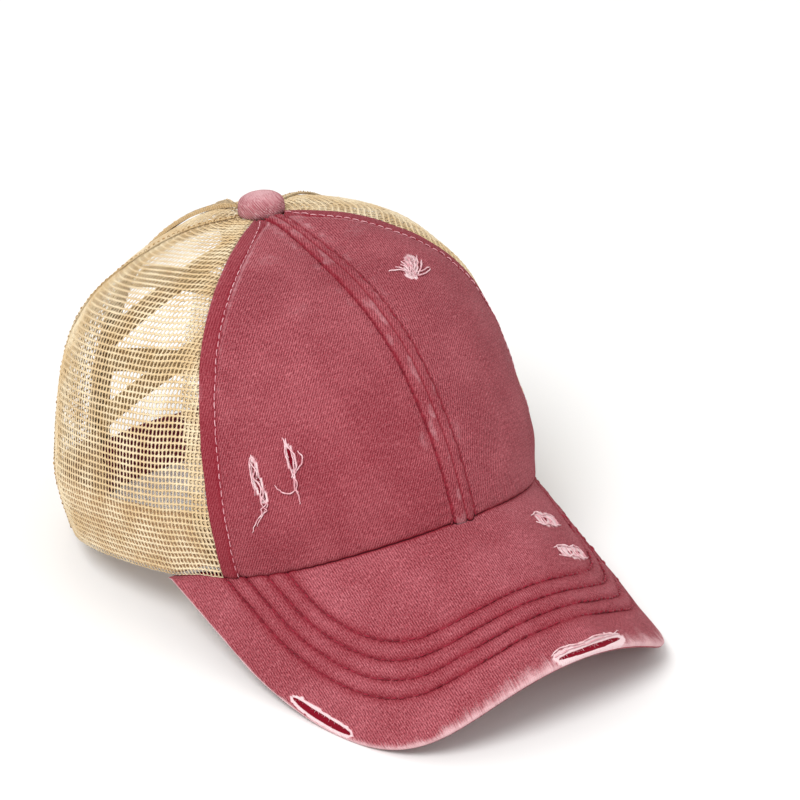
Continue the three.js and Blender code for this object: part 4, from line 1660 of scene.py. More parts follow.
@dataclass
class FrontPanel:
    """One washed twill front panel, with its turned seam edge and its wear."""

    shop: Workshop
    hand: Hand
    columns: int = 106
    rows: int = 196
    seam_fold: float = 6.9
    fold_rise: float = 0.3
    hem: float = 1.0
    tears: tuple[Tear, ...] = ()
    threads: tuple[tuple[tuple[float, float, float], ...], ...] = ()

    def grid(self) -> tuple[np.ndarray, np.ndarray, np.ndarray]:
        """Angles, stations and flat cut of the panel's corners.

        Returns:
            Three arrays of rows by columns.
        """
        form = self.shop.form
        u = spread(self.columns)
        v = spread(self.rows, (0.0, 0.002, 0.005, 0.01))
        first, last = form.centre_edge(np.zeros(1))[0], form.front_seam_angle(0.0)
        top = form.top_station(lerp(first, last, u))
        station = v[:, None] * top[None, :]
        seam = form.front_seam_angle(station)
        seam = seam - form.angle_for(form.gap / 2, seam, station)
        centre = form.centre_edge(station)
        centre = centre - form.angle_for(form.gap, centre, station)
        angle = lerp(centre, seam, u[None, :])
        return angle, station, flat_cut(form.surface(angle, station))

    def relief(self, base: np.ndarray, flat: np.ndarray, edges: tuple[np.ndarray, ...]) -> np.ndarray:
        """How far the cloth stands out from the plain form.

        Args:
            base: points of the plain form.
            flat: the flat cut.
            edges: distances to the side seam, the centre seam and the rim.

        Returns:
            Millimetres.
        """
        side, centre, rim = edges
        seed = 11 if self.hand is Hand.LEFT else 23
        rise = 0.34 * ripple(base, 42, seed) * smoothstep(rim, 2, 25) * smoothstep(centre, 0, 12)
        rise += 0.16 * ripple(base, 17, seed + 1) * smoothstep(rim, 1, 12)
        rise += self.fold_rise * (1 - smoothstep(side, self.seam_fold - 0.9, self.seam_fold + 0.5))
        rise -= 0.3 * bell(side - self.seam_fold, 0.6)
        pucker = wave(flat[..., 1], 4.3, 1.7 * ripple(base, 15, seed + 2))
        rise += 0.32 * pucker * bell(centre - 2.0, 2.8)
        rise += 0.1 * wave(flat[..., 1], 3.1) * bell(side - self.seam_fold, 2.4)
        gather = wave(flat[..., 0], 6.2, 2 * ripple(base, 22, seed + 3))
        rise += 0.16 * gather * bell(rim - 4, 4.0)
        rise -= rolled(side, 0.5) + 0.14 * bell(centre, 0.5)
        rise -= 1.2 * bell(rim, 1.8)
        return rise

    def build(self) -> None:
        """Makes the panel, its topstitching and its fray."""
        shop, form, side = self.shop, self.shop.form, self.hand.value
        angle, station, flat = self.grid()
        base, out = form.surface(angle, station), form.normal(angle, station)
        across = flat[..., 0]
        to_side, to_centre = across[:, -1:] - across, across - across[:, :1]
        rim = flat[..., 1]
        rise = self.relief(form.in_frame(base, side), flat, (to_side, to_centre, rim))
        uneven = ripple(base, 9, 6)
        worn = 0.3 * wear_band(np.abs(to_side - self.seam_fold - 0.9), 0.8) + 0.22 * wear_band(to_side, 0.9)
        worn += 0.24 * wear_band(np.abs(to_centre - 2.2), 1.6) * smoothstep(uneven, -0.6, 1.2)
        # Random rubbed patches, and paler toward the top as painted light from above.
        worn += 0.22 * smoothstep(ripple(base, 30, 5), 0.5, 2.0) + 0.2 * smoothstep(rim, 60, 130)
        stitched = 0.9 * bell(to_side - self.seam_fold + 0.5, 0.5)
        stitched += 0.5 * (1 - smoothstep(to_side, self.seam_fold - 1.2, self.seam_fold))
        # Painted shade: the right panel is darker low down.
        stitched += 0.22 * (1 - smoothstep(rim, 30, 90)) * (self.hand is Hand.RIGHT)
        # Painted shadow line along the rim, under the panel's edge at the brim.
        stitched = np.clip(stitched, 0, 1) + 1.6 * bell(rim, 0.9)
        torn = np.zeros_like(worn)
        for tear in self.tears:
            depth = tear.inside(flat)
            rise = rise - tear.depth * smoothstep(depth, 0.05, 0.5)
            rise = rise + 0.25 * np.clip(tear.worn(flat), 0, 1) * (depth <= 0)
            torn = np.maximum(torn, depth)
            worn = np.maximum(worn, tear.worn(flat))
        drop = self.hem * bell(rim, 2.2)[..., None] * hem_way(base)
        outer = form.in_frame(form.point(angle, station, -rise) + drop, side)
        inner = form.in_frame(form.point(angle, station, form.wall) + drop, side)
        marks = {"worn": worn, "torn": torn, "stitched": stitched}
        layer = Layer(outer, inner, flat * np.array([side, 1]), marks)
        name = f"front_panel_{self.hand.word}"
        panel = layer.build(f"{name}_cloth", shop.finishes.panel)
        shop.ride(panel, "washed_twill", name)
        facing = form.lean_back(out, side)
        cloth = Cloth(outer, facing, flat)
        self.topstitch(cloth)
        self.frays(outer, flat, worn)
        if self.threads:
            paths = [np.array(thread) for thread in self.threads]
            finish = shop.finishes.pale_thread
            shop.threads(f"{name}_threads", cloth, paths, finish, "washed_twill", 0.27)

    def topstitch(self, cloth: Cloth) -> None:
        """Sews the row along the turned seam edge of the panel's outer face."""
        edge = cloth.flat[4:-8:2, -1]
        corners = np.column_stack([edge[:, 0] - self.seam_fold + 0.35, edge[:, 1], 0 * edge[:, 0] + 0.12])
        path = cloth.over(corners)
        facing = cloth.over(corners + np.array([0, 0, 1.0])) - path
        name = f"front_panel_{self.hand.word}_topstitch"
        finish = self.shop.finishes.rose_thread
        self.shop.sew(name, [(path, facing)], finish, "washed_twill", 3.3, StitchKind.LONG, 0.06)

    def frays(self, outer: np.ndarray, flat: np.ndarray, worn: np.ndarray) -> None:
        """Scatters loose fibres round the tears.

        Args:
            outer: the cloth's outer points in the frame.
            flat: the flat cut.
            worn: its wear.
        """
        if not self.tears:
            return
        frayed = np.zeros_like(worn)
        for tear in self.tears:
            out = tear.outside(flat)
            frayed = np.maximum(frayed, smoothstep(out, -0.6, 0.1) * (1 - smoothstep(out, 0.6, 1.8)))
        lie = np.gradient(outer, axis=0)
        name = f"front_panel_{self.hand.word}_fray"
        finish = self.shop.finishes.pale_thread
        self.shop.fray(name, outer, frayed, lie, finish, "washed_twill", 4.0, (0.35, 0.9), 1.2)


@dataclass
class CentreSeam:
    """The raised, puckered seam up the middle of the front, sewn with two rows of stitches."""

    shop: Workshop
    columns: int = 28
    rows: int = 220
    rise: float = 0.85
    row_inset: float = 0.95
    lap: float = 0.45

    def profile(self, flat: np.ndarray, base: np.ndarray) -> np.ndarray:
        """How far the strip stands out.

        Args:
            flat: its flat cut.
            base: its plain points.

        Returns:
            Millimetres.
        """
        half = np.abs(flat[:, :1, 0]) - self.lap
        row = half - self.row_inset
        away = np.abs(flat[..., 0])
        crest = self.rise * (1 - np.minimum(away / row, 1) ** 3) ** 0.6
        swell = wave(flat[..., 1] + 0.8 * flat[..., 0], 6.8, 2.0 * ripple(base, 14, 4))
        crest = crest + 0.34 * swell * bell(away - row + 1.2, 1.6)
        crest -= 0.3 * bell(away - row, 0.55)
        crest -= 0.5 * bell(flat[..., 0] - 0.5, 0.5)
        crest += 0.1 * ripple(base, 20, 8) * (away < row) - 0.05 * smoothstep(away, half, half + self.lap)
        return crest

    def build(self) -> None:
        """Makes the strip and its two rows of stitches."""
        shop, form = self.shop, self.shop.form
        u = spread(self.columns, (0.0, 0.02, 0.05, 0.09))[None, :]
        station = spread(self.rows, (0.0, 0.001, 0.003, 0.006))[:, None] * form.top_station(np.zeros(1))[0]
        edge = form.angle_at_side(form.centre_seam_half(station) + self.lap, station, Column.FRONT)
        angle = lerp(-edge, edge, u)
        base = form.surface(angle, station)
        flat = flat_cut(base)
        rise = self.profile(flat, base) - 0.9 * bell(flat[..., 1], 1.6)
        drop = 1.0 * bell(flat[..., 1], 2.2)[..., None] * hem_way(base)
        outer = form.in_frame(form.point(angle, station, -rise) + drop)
        inner = form.in_frame(form.point(angle, station, form.wall) + drop)
        row = np.abs(flat[:, :1, 0]) - self.lap - self.row_inset
        away = np.abs(flat[..., 0])
        patchy = smoothstep(ripple(base, 10, 3), -0.2, 1.4)
        worn = 0.8 * bell(flat[..., 0] + row - 1.6, 1.2) * patchy
        worn += 0.9 * bell(flat[..., 0] + 0.9, 1.3) * smoothstep(ripple(base, 9, 9), -0.6, 1.2)
        worn += 0.4 * bell(flat[..., 0] - row + 1.3, 0.8) * patchy
        worn = np.minimum(worn + 0.3 * wear_band(np.abs(away - row - 1.6), 0.9) * patchy, 0.42)
        stitched = bell(away - row, 0.6) + 0.16 * (away < row)
        stitched = np.maximum(stitched, 0.9 * bell(flat[..., 0] - 0.5, 0.45))
        # Painted shadow line along the rim, where the seam meets the brim.
        stitched = np.clip(stitched, 0, 1) + 1.6 * bell(flat[..., 1], 0.9)
        marks = {"worn": worn, "stitched": stitched}
        strip = Layer(outer, inner, flat, marks).build("centre_seam_cloth", shop.finishes.panel)
        shop.ride(strip, "washed_twill", "centre_seam")
        runs = []
        stations = np.linspace(0.01, 0.965, 110)
        for sign in (-1, 1):
            width = form.centre_seam_half(stations) - self.row_inset
            row = sign * form.angle_at_side(width, stations, Column.FRONT)
            path = form.laid(row, stations, 0.12)
            runs.append((path, form.lean_back(form.normal(row, stations))))
        shop.sew("centre_seam_stitches", runs, shop.finishes.dark_thread, "washed_twill", 2.5)


SLACK_MIDDLE = np.array([-36.0, 104.0, 110.0])
SLACK_REACH = np.array([30.0, 30.0, 22.0])
SLACK_DEPTH = 3.6


def sag(points: np.ndarray) -> np.ndarray:
    """How far the slack net sinks high on the wearer's right of the back.

    Args:
        points: places in the frame.

    Returns:
        Millimetres.
    """
    away = (points - SLACK_MIDDLE) / SLACK_REACH
    return SLACK_DEPTH * np.exp(-(away**2).sum(axis=-1))


@dataclass
class NetSeam:
    """The overlocked seam between a side net and a back net."""

    shop: Workshop
    hand: Hand
    reach: float = 2.2
    step: float = 1.15

    def build(self) -> None:
        """Makes the yarns that run to and fro over the seam and the stitches along it."""
        form, side = self.shop.form, self.hand.value
        station = np.linspace(0.006, 0.955, 260)
        line = form.surface(form.back_seam(station), station)
        way = length_along(line)
        turns = int(way[-1] / self.step)
        strands = []
        for phase, spread_out, depth, thick in ((0, 1.0, -0.05, 0.33), (1, -1.0, -0.2, 0.33), (0, 0.35, 0.15, 0.3)):
            place = np.interp(np.arange(turns * 2 + 1) * self.step / 2, way, station)
            seam = form.back_seam(place)
            across = spread_out * self.reach / 2 * np.where(np.arange(len(place)) % 2 == phase, 1, -1)
            angle = seam + form.angle_for(across, seam, place)
            plain = form.in_frame(form.surface(angle, place), side)
            path = form.laid(angle, place, depth + sag(plain), side, 0.3)
            strands.append(tube(path, thick, 6))
        points, faces = joined(strands)
        name = f"net_seam_{self.hand.word}"
        made = new_mesh(name, points, faces, crease=NO_CREASE)
        made.data.materials.append(self.shop.finishes.net)
        seam = form.back_seam(station)
        plain = form.in_frame(form.surface(seam, station), side)
        path = form.laid(seam, station, sag(plain) - 0.35, side, 0.3)
        facing = form.lean_back(form.normal(seam, station), side)
        self.shop.sew(
            f"{name}_stitches", [(path, facing)], self.shop.finishes.brown_thread,
            "net_mesh", 2.1, StitchKind.DOT, 0.12,
        )
        self.shop.ride(made, "net_mesh")


@dataclass
class NetPanel:
    """A panel of knitted net with the doubled edge beside each seam."""

    shop: Workshop
    hand: Hand
    kind: str
    first: Edge
    last: Edge
    fold_first: float = 7.5
    fold_last: float = 7.5
    margin: float = 3.0
    depth: float = 0.55
    seed: int = 1

    def top(self) -> float:
        """Station of the panel's top, midway between its two seams."""
        foot = np.zeros(1)
        return self.shop.form.top_station((self.first(foot) + self.last(foot)) / 2)[0]

    def sheet(self, depth: float, keep: Callable[[np.ndarray, np.ndarray], np.ndarray]) -> bpy.types.Object:
        """The sheet of cloth that the net is knitted over, a little larger than the panel.

        Args:
            depth: inside the crown's outer surface.
            keep: from the distances to both seams, how far inside the net each corner is.

        Returns:
            The sheet.
        """
        form, side = self.shop.form, self.hand.value
        u, v = np.linspace(0, 1, 90)[None, :], np.linspace(0, 1.025, 114)[:, None]
        station = v * self.top()
        first, last = self.first(station), self.last(station)
        first = first - form.angle_for(self.margin, first, station)
        last = last + form.angle_for(self.margin, last, station)
        angle = lerp(first, last, u)
        base = form.surface(angle, station)
        flat = flat_cut(base)
        billow = 0.45 * ripple(base, 38, self.seed) * smoothstep(flat[..., 1], 4, 30)
        plain = form.in_frame(base, side)
        points = form.laid(angle, station, depth - billow + sag(plain), side, 0.3)
        from_first = flat[..., 0] - flat[:, :1, 0] - self.margin
        from_last = flat[:, -1:, 0] - flat[..., 0] - self.margin
        inside = keep(from_first, from_last)
        inside = np.where(v > 0.999, -1, inside)
        faces = grid_faces(*station.shape[:1], u.shape[1])
        if side < 0:
            faces = faces[:, ::-1]
        cut = (flat * np.array([side, 1])).reshape(-1, 2)
        return new_mesh("net_sheet", points.reshape(-1, 3), faces, cut, {"inside": inside.ravel()})

    def knit(self, name: str, sheet: bpy.types.Object, across: float, up: float) -> bpy.types.Object:
        """Knits the net over a sheet.

        Args:
            name: the piece's name.
            sheet: the cloth that it follows.
            across: shift of the cells along the row.
            up: shift of the cells up the column.

        Returns:
            The piece.
        """
        shop = self.shop
        sheet.name = name
        inputs = {
            "Tall Cell": shop.tall_cell,
            "Short Cell": shop.short_cell,
            "Pitch": shop.pitch * MM,
            "Tall Height": shop.tall * MM,
            "Short Height": shop.short * MM,
            "Columns": 96,
            "Row Pairs": 42,
            "Shift Across": across * MM,
            "Shift Up": up * MM,
            "Material": shop.finishes.net,
        }
        return run_tree(sheet, shop.net_tree.tree, inputs)

    def build(self) -> None:
        """Makes the net and its doubled edges."""
        name = f"{self.kind}_net_{self.hand.word}"
        bare = self.last == self.shop.form.back_net_edge
        whole = self.sheet(self.depth, lambda a, b: np.minimum(a, b - 1.2 * bare) + 0.4)
        net = self.knit(f"{name}_knit", whole, 0.0, 0.0)
        self.shop.ride(net, "net_mesh", name)
        u, v = np.linspace(0, 1, 60)[None, :], np.linspace(0, 1, 80)[:, None]
        station = v * self.top()
        base = self.shop.form.surface(lerp(self.first(station), self.last(station), u), station)
        size, area = cut_size(base, flat_cut(base))
        LOG.info("%s is cut from %.4f x %.4f m, %.5f m2", name, *size, area)

        def folds(a: np.ndarray, b: np.ndarray) -> np.ndarray:
            """How far inside either doubled edge a place lies, from its distances to both seams."""
            pairs = ((a, self.fold_first), (b, self.fold_last))
            bands = [np.minimum(c, wide - c) if wide else c * 0 - 1 for c, wide in pairs]
            return np.minimum(np.maximum(*bands), np.minimum(a, b)) + 0.2

        under = self.sheet(self.depth + 0.6, folds)
        edge = self.knit(f"{name}_fold", under, 0.5 * self.shop.pitch, -0.55 * self.shop.short)
        self.shop.ride(edge, "net_mesh")


@dataclass
class Brim:
    """The stiff, bent brim with four stitch rows, worn edges and two torn places."""

    shop: Workshop
    columns: int = 350
    edge_radius: float = 1.35
    tuck: float = 0.014
    row_insets: tuple[float, ...] = (16.7, 22.8, 29.4, 35.8)
    tears: tuple[Tear, ...] = ()

    def row_path(self, inset: float) -> np.ndarray:
        """A stitch row on the flat sheet, from the crown round the front and back to it."""
        u = np.linspace(-1, 1, 601)
        path = self.shop.brim_form.outline(u, inset)
        inner = self.shop.brim_form.inner_edge(np.linspace(-1, 1, 241))
        edge = np.interp(path[:, 0], inner[:, 0], inner[:, 1])
        clear = path[:, 1] > edge + 1.2
        clear &= np.abs(path[:, 0]) < inner[-1, 0] - 1.0 + 100 * (path[:, 1] > -40)
        return path[clear]

    def build(self) -> None:
        """Makes the brim, its stitches and its fray."""
        shop, form, shape = self.shop, self.shop.form, self.shop.brim_form
        u = np.linspace(-1, 1, self.columns)
        near = [0.9935, 0.9965, 0.9985, 1.0]
        v = np.concatenate([np.linspace(-self.tuck, 0.88, 52), np.linspace(0.886, 0.989, 18), near])
        inner, outer = shape.inner_edge(u)[None], shape.outline(u)[None]
        flat = lerp(inner, outer, v[:, None, None])
        rim = shape.outline(np.linspace(-1, 1, 401))
        edge = path_distance(flat, rim)
        top = form.in_frame(shape.settled(flat, 0.0))
        rise = 0.22 * ripple(top, 34, 31) + 0.1 * ripple(top, 13, 32)
        stitched = np.zeros_like(edge)
        for number, inset in enumerate(self.row_insets):
            path = self.row_path(inset)
            away = path_distance(flat, path)
            wander = ripple(top, 9, 40 + number)
            pucker = wave(flat[..., 0], 4.4, 2.0 * wander)
            rise -= (0.62 + 0.12 * pucker) * bell(away, 0.9)
            rise += 0.2 + 0.17 * pucker * bell(away - 1.6, 1.4) - 0.2 * smoothstep(away, 1.2, 4.5)
            stitched = np.maximum(stitched, bell(away, 0.95))
            # Painted shade in the shallow groove beside each row.
            stitched = np.maximum(stitched, 0.4 * (1 - smoothstep(away, 1.0, 3.6)))
        crown = path_distance(flat, shape.inner_edge(np.linspace(-1, 1, 241)))
        # Painted shadow line along the seam with the crown.
        stitched = stitched + 1.7 * bell(crown, 1.0)
        worn = self.wear(flat, edge, top)
        torn = np.zeros_like(worn)
        for tear in self.tears:
            depth = tear.inside(flat)
            rise = rise - tear.depth * smoothstep(depth, 0.05, 0.6)
            torn = np.maximum(torn, depth)
            worn = np.maximum(worn, tear.worn(flat))
        fall = rolled(edge, self.edge_radius)
        upper = shape.settled(flat, fall - rise * smoothstep(edge, 0, 2))
        lower = shape.settled(flat, form.brim_thickness - fall)
        way = length_along(outer[0])
        combed = (way[None, :] + 0 * edge) * smoothstep(14 - edge, 0, 2)
        marks = {"worn": worn, "torn": torn, "stitched": stitched, "combed": combed + 500.0}
        layer = Layer(form.in_frame(upper), form.in_frame(lower), flat, marks)
        layer.outer[..., 2] = np.maximum(layer.outer[..., 2], layer.inner[..., 2] + 0.05)
        piece = layer.build("brim_cloth", shop.finishes.brim, 70.0)
        shop.ride(piece, "washed_twill", "brim")
        self.stitches()
        self.fray(layer, flat, edge, worn)

    def wear(self, flat: np.ndarray, edge: np.ndarray, top: np.ndarray) -> np.ndarray:
        """Wear of the brim: a feathered pale edge, strongest in front, and rubbed places.

        Args:
            flat: the flat cut.
            edge: distance to the edge.
            top: the top's points in the frame.

        Returns:
            Wear from 0 to about 1.
        """
        uneven = ripple(top, 13, 51)
        front = smoothstep(flat[..., 1], 15, 50)
        left = smoothstep(flat[..., 0], -75, -20)
        reach = 0.8 + 4.8 * front * (0.3 + 0.7 * left) + 0.5 * uneven
        worn = 0.76 * np.exp(-((edge / np.maximum(reach, 0.5)) ** 1.4))
        worn += (0.62 - 0.42 * front) * bell(edge, 0.8)
        worn += 0.2 * smoothstep(ripple(top, 28, 52), 0.6, 2.0)
        return worn

    def stitches(self) -> None:
        """Sews the four rows."""
        shop, form, shape = self.shop, self.shop.form, self.shop.brim_form
        runs = []
        for inset in self.row_insets:
            flat = self.row_path(inset)[::3]
            path = shape.settled(flat, 0.3)
            out = path - shape.settled(flat, 1.3)
            runs.append((form.in_frame(path), form.lean_back(out)))
        finish = shop.finishes.dark_thread
        shop.sew("brim_stitches", runs, finish, "washed_twill", 3.0, StitchKind.CORDED, 0.2)

    def fray(
        self, layer: Layer, flat: np.ndarray, edge: np.ndarray, worn: np.ndarray
    ) -> None:
        """Scatters fibres along the worn edge and round the tears.

        Args:
            layer: the brim's faces.
            flat: the flat cut.
            edge: distance to the edge.
            worn: its wear.
        """
        shop = self.shop
        lie = np.gradient(layer.outer, axis=0)
        near = bell(edge, 0.9) * (0.15 + 0.85 * smoothstep(ripple(layer.outer, 12, 61), -0.2, 1.2))
        near = near * (0.5 + 0.5 * smoothstep(flat[..., 0], -60, 60))
        finish, slot = shop.finishes.pale_thread, "washed_twill"
        frayed = near * smoothstep(worn, 0.2, 0.7)
        shop.fray("brim_edge_fray", layer.outer, frayed, lie, finish, slot, 1.5, (0.15, 0.42), 0.9, 7)
        if self.tears:
            frayed = np.zeros_like(edge)
            for tear in self.tears:
                out = tear.outside(flat)
                ring = smoothstep(out, -0.35, 0.15) * (1 - smoothstep(out, tear.border * 0.6, tear.border))
                frayed = np.maximum(frayed, ring)
            shop.fray("brim_tear_fray", layer.outer, frayed, lie, finish, slot, 2.6, (0.3, 0.9), 1.5, 9)
            facing = unit(np.cross(np.gradient(layer.outer, axis=1), np.gradient(layer.outer, axis=0)))
            facing *= np.sign(facing[len(facing) // 2, facing.shape[1] // 2, 2])
            cloth = Cloth(layer.outer, facing, flat)
            paths = [np.array(thread) for thread in BRIM_THREADS]
            shop.threads("brim_threads", cloth, paths, finish, slot, 0.3)


@dataclass
class CrownButton:
    """The cloth-covered button on top."""

    shop: Workshop
    radius: float = 9.0
    shift: tuple[float, float, float] = (1.3, 1.2, 0.5)
    height: float = 6.4
    foot: float = 1.6
    sides: int = 96
    rings: int = 30

    def build(self) -> None:
        """Makes the button."""
        shop, form = self.shop, self.shop.form
        turn = np.linspace(0, 2 * math.pi, self.sides, endpoint=False)
        share = np.linspace(0, 1, self.rings)[:, None]
        rise = share * math.pi / 2
        radius = self.radius * np.cos(rise) ** 0.7
        pleat = 0.22 * np.sin(9 * turn + 0.8 * np.sin(3 * turn))[None, :] * (1 - share) ** 1.5
        radius = radius + pleat * (radius > 0.5)
        z = self.foot + (self.height - self.foot) * np.sin(rise) + 0 * turn
        z = z - 0.15 * bell(radius, 1.4)
        points = np.stack([radius * np.cos(turn), radius * np.sin(turn) - form.button_shift, z], -1)
        points[..., 2] += form.crown_height + form.gap
        base = []
        wide = self.radius
        for r, h in ((5.0, -4.0), (5.0, -2.2), (wide - 1.0, -2.2), (wide + 0.1, -1.4), (wide + 0.2, 0.6)):
            ring = np.stack([r * np.cos(turn), r * np.sin(turn) - form.button_shift, turn * 0 + h], -1)
            ring[..., 2] += form.crown_height + form.gap
            base.append(ring)
        whole = np.concatenate([np.stack(base), points[:-1]])
        rows, sides = whole.shape[:2]
        corners = np.concatenate([whole.reshape(-1, 3), points[-1, :1]])
        apex, last = len(corners) - 1, (rows - 1) * sides
        even = np.arange(0, sides, 2)
        cap = np.stack([last + even, last + even + 1, last + (even + 2) % sides, even * 0 + apex], -1)
        floor = np.array([[0, (2 * m + 3) % sides, 2 * m + 2, 2 * m + 1] for m in range((sides - 2) // 2)])
        faces = np.concatenate([ring_faces(rows, sides), cap, floor])
        placed = form.in_frame(corners) + np.array(self.shift)
        faces = facing_out(placed, faces)
        out = np.hypot(corners[:, 0], corners[:, 1] + form.button_shift)
        worn = np.clip(1.15 - out / self.radius, 0, 1) ** 0.6 * 0.85
        flat = corners[:, :2] + corners[:, 2:] * np.array([0.3, -1.0])
        button = new_mesh("crown_button_cloth", placed, faces, flat, {"worn": worn}, 60.0)
        button.data.materials.append(shop.finishes.button)
        shop.ride(button, "worn_twill", "crown_button")


@dataclass
class Sweatband:
    """The tan band inside the rim."""

    shop: Workshop
    height: float = 28
    wall: float = 1.3

    def build(self) -> None:
        """Makes the band and the row that holds it."""
        shop, form = self.shop, self.shop.form
        u = spread(216, (0.0, 0.0008, 0.002))[None, :]
        station = spread(20, (0.0, 0.015, 0.04))[:, None] * form.station_at(self.height)
        end = form.opening_edge(station, 10)
        angle = lerp(-end, end, u)
        base = form.surface(angle, station)
        flat = flat_cut(base)
        up = flat[..., 1]
        lap = rolled(np.minimum(up, up[-1:] - up), 0.6)
        fold = 0.3 * ripple(base, 20, 71) * smoothstep(up, 3, 14) * (1 - smoothstep(up, 20, 27))
        depth = form.wall + 2 * form.gap
        outer = form.laid(angle, station, depth + lap * 0.4, 1, 0.02)
        inner = form.laid(angle, station, depth + self.wall - lap + np.abs(fold), 1, 0.02)
        band = Layer(outer, inner, flat).build("sweatband_cloth", shop.finishes.band)
        shop.ride(band, "sweatband_cotton", "sweatband")
        around = np.linspace(-0.985, 0.985, 400)
        row = np.full_like(around, float(form.station_at(self.height - 2.6)))
        turn = around * form.opening_edge(row, 10)
        path = form.laid(turn, row, depth + self.wall + 0.05)
        shop.sew(
            "sweatband_stitches", [(path, -form.lean_back(form.normal(turn, row)))],
            shop.finishes.tan_thread, "sweatband_cotton", 3.2,
        )


@dataclass
class OpeningTape:
    """Herringbone tape that binds one side of the ponytail opening."""

    shop: Workshop
    hand: Hand
    wall: float = 1.2

    def strip(self, u: np.ndarray, v: np.ndarray) -> tuple[np.ndarray, np.ndarray]:
        """Angle and station across and along the tape."""
        form = self.shop.form
        down = 1 - v
        inner, outer = form.opening_top * down, form.tape_top * down
        station = lerp(inner, outer, u)
        near = form.arch_half(inner, form.opening_top, form.opening_half_width) + form.gap / 2
        far = form.arch_half(outer, form.tape_top, form.opening_half_width + form.tape_width) + form.gap / 2
        return math.pi - form.angle_at_side(lerp(near, far, u), station, Column.BACK), station

    def build(self) -> None:
        """Makes the tape and its stitches."""
        shop, form, side = self.shop, self.shop.form, self.hand.value
        u = spread(18, (0.0, 0.02, 0.06, 0.12))[None, :]
        v = spread(190, (0.0, 0.002, 0.005))[:, None]
        angle, station = self.strip(u, v)
        base = form.surface(angle, station)
        flat = flat_cut(base)
        width = flat[:, -1:, 0] - flat[:, :1, 0]
        edge = np.minimum(flat[..., 0] - flat[:, :1, 0], flat[:, -1:, 0] - flat[..., 0])
        rise = 0.18 * np.sin(math.pi * u) - rolled(edge, 0.55) + 0.1 * ripple(base, 12, 81)
        rise -= 0.2 * bell(flat[:, -1:, 0] - flat[..., 0] - 1.5, 0.5)
        pucker = wave(flat[..., 1], 3.4, ripple(base, 16, 82))
        rise += 0.1 * pucker * (edge < 3)
        slack = sag(form.in_frame(base, side))
        outer = form.laid(angle, station, slack - form.gap - self.wall - rise, side)
        inner = form.laid(angle, station, slack - form.gap + rolled(edge, 0.3), side)
        name = f"opening_tape_{self.hand.word}"
        tape = Layer(outer, inner, flat).build(f"{name}_weave", shop.finishes.tape)
        shop.ride(tape, "binding_tape", name)
        t = np.linspace(0.02, 0.97, 90)
        turn, row = self.strip(np.full_like(t, 1 - 1.5 / float(width.mean())), t)
        slack = sag(form.in_frame(form.surface(turn, row), side))
        path = form.laid(turn, row, slack - form.gap - self.wall + 0.1, side)
        shop.sew(
            f"{name}_stitches", [(path, form.lean_back(form.normal(turn, row), side))],
            shop.finishes.tan_thread, "binding_tape", 2.8, StitchKind.SMALL,
        )


@dataclass
class ElasticStrap:
    """One ribbed elastic strap over the opening."""

    shop: Workshop
    name: str
    left: float
    right: float
    layer: int
    width: float = 10
    wall: float = 1.1
    tuck: float = 8
    pull_in: float = 1.2
    closure_height: float = 19
    ribs: int = 8

    def station(self, share: float) -> float:
        """Station at a share of the way down from the opening's top to the closure."""
        form = self.shop.form
        top = form.crown_height * float(form.level(Column.HEIGHT, form.opening_top))
        return float(form.station_at(lerp(top, self.closure_height, share)))

    def middle(self, share: np.ndarray) -> tuple[np.ndarray, np.ndarray, np.ndarray]:
        """Angle, station and depth of the strap's middle line."""
        form = self.shop.form
        first, last = self.station(self.left), self.station(self.right)
        start = float(form.opening_half(first)) + self.tuck
        end = float(form.opening_half(last)) + self.tuck
        station = lerp(first, last, share)
        side = lerp(start, -end, share)
        angle = math.pi - np.sign(side) * form.angle_at_side(np.abs(side), station, Column.BACK)
        edge = form.opening_half(station) + self.tuck
        slack = sag(form.in_frame(form.surface(angle, station)))
        taut = slack + self.pull_in * (1 - np.minimum(np.abs(side) / edge, 1) ** 2)
        depth = form.wall + 2 * form.gap + taut + self.layer * (self.wall + 2 * form.gap)
        return angle, station, depth

    def build(self) -> None:
        """Makes the strap."""
        shop, form = self.shop, self.shop.form
        share = np.linspace(0, 1, 48)
        angle, station, depth = self.middle(share)
        ahead, behind = self.middle(share + 0.01), self.middle(share - 0.01)
        along = unit(form.surface(ahead[0], ahead[1]) - form.surface(behind[0], behind[1]))
        out = form.normal(angle, station)
        across = unit(np.cross(out, along))
        v = spread(self.ribs * 5, (0.0, 0.012, 0.03, 0.05))[:, None, None] - 0.5
        edge = self.width * (0.5 - np.abs(v))
        rib = 0.09 * np.cos(v * self.ribs * 2 * math.pi) - rolled(edge, 0.42)
        rib -= 0.2 * bell(edge - 1.5, 0.3)
        middle = form.surface(angle, station)[None]
        placed = middle + across[None] * v * self.width
        outer = placed - out[None] * (depth[None, :, None] - rib)
        inner = placed - out[None] * (depth[None, :, None] + self.wall + rib)
        flat = flat_cut(outer)
        strap = Layer(form.in_frame(outer), form.in_frame(inner), flat).build(
            f"{self.name}_webbing", shop.finishes.elastic
        )
        shop.ride(strap, "elastic_webbing", self.name)


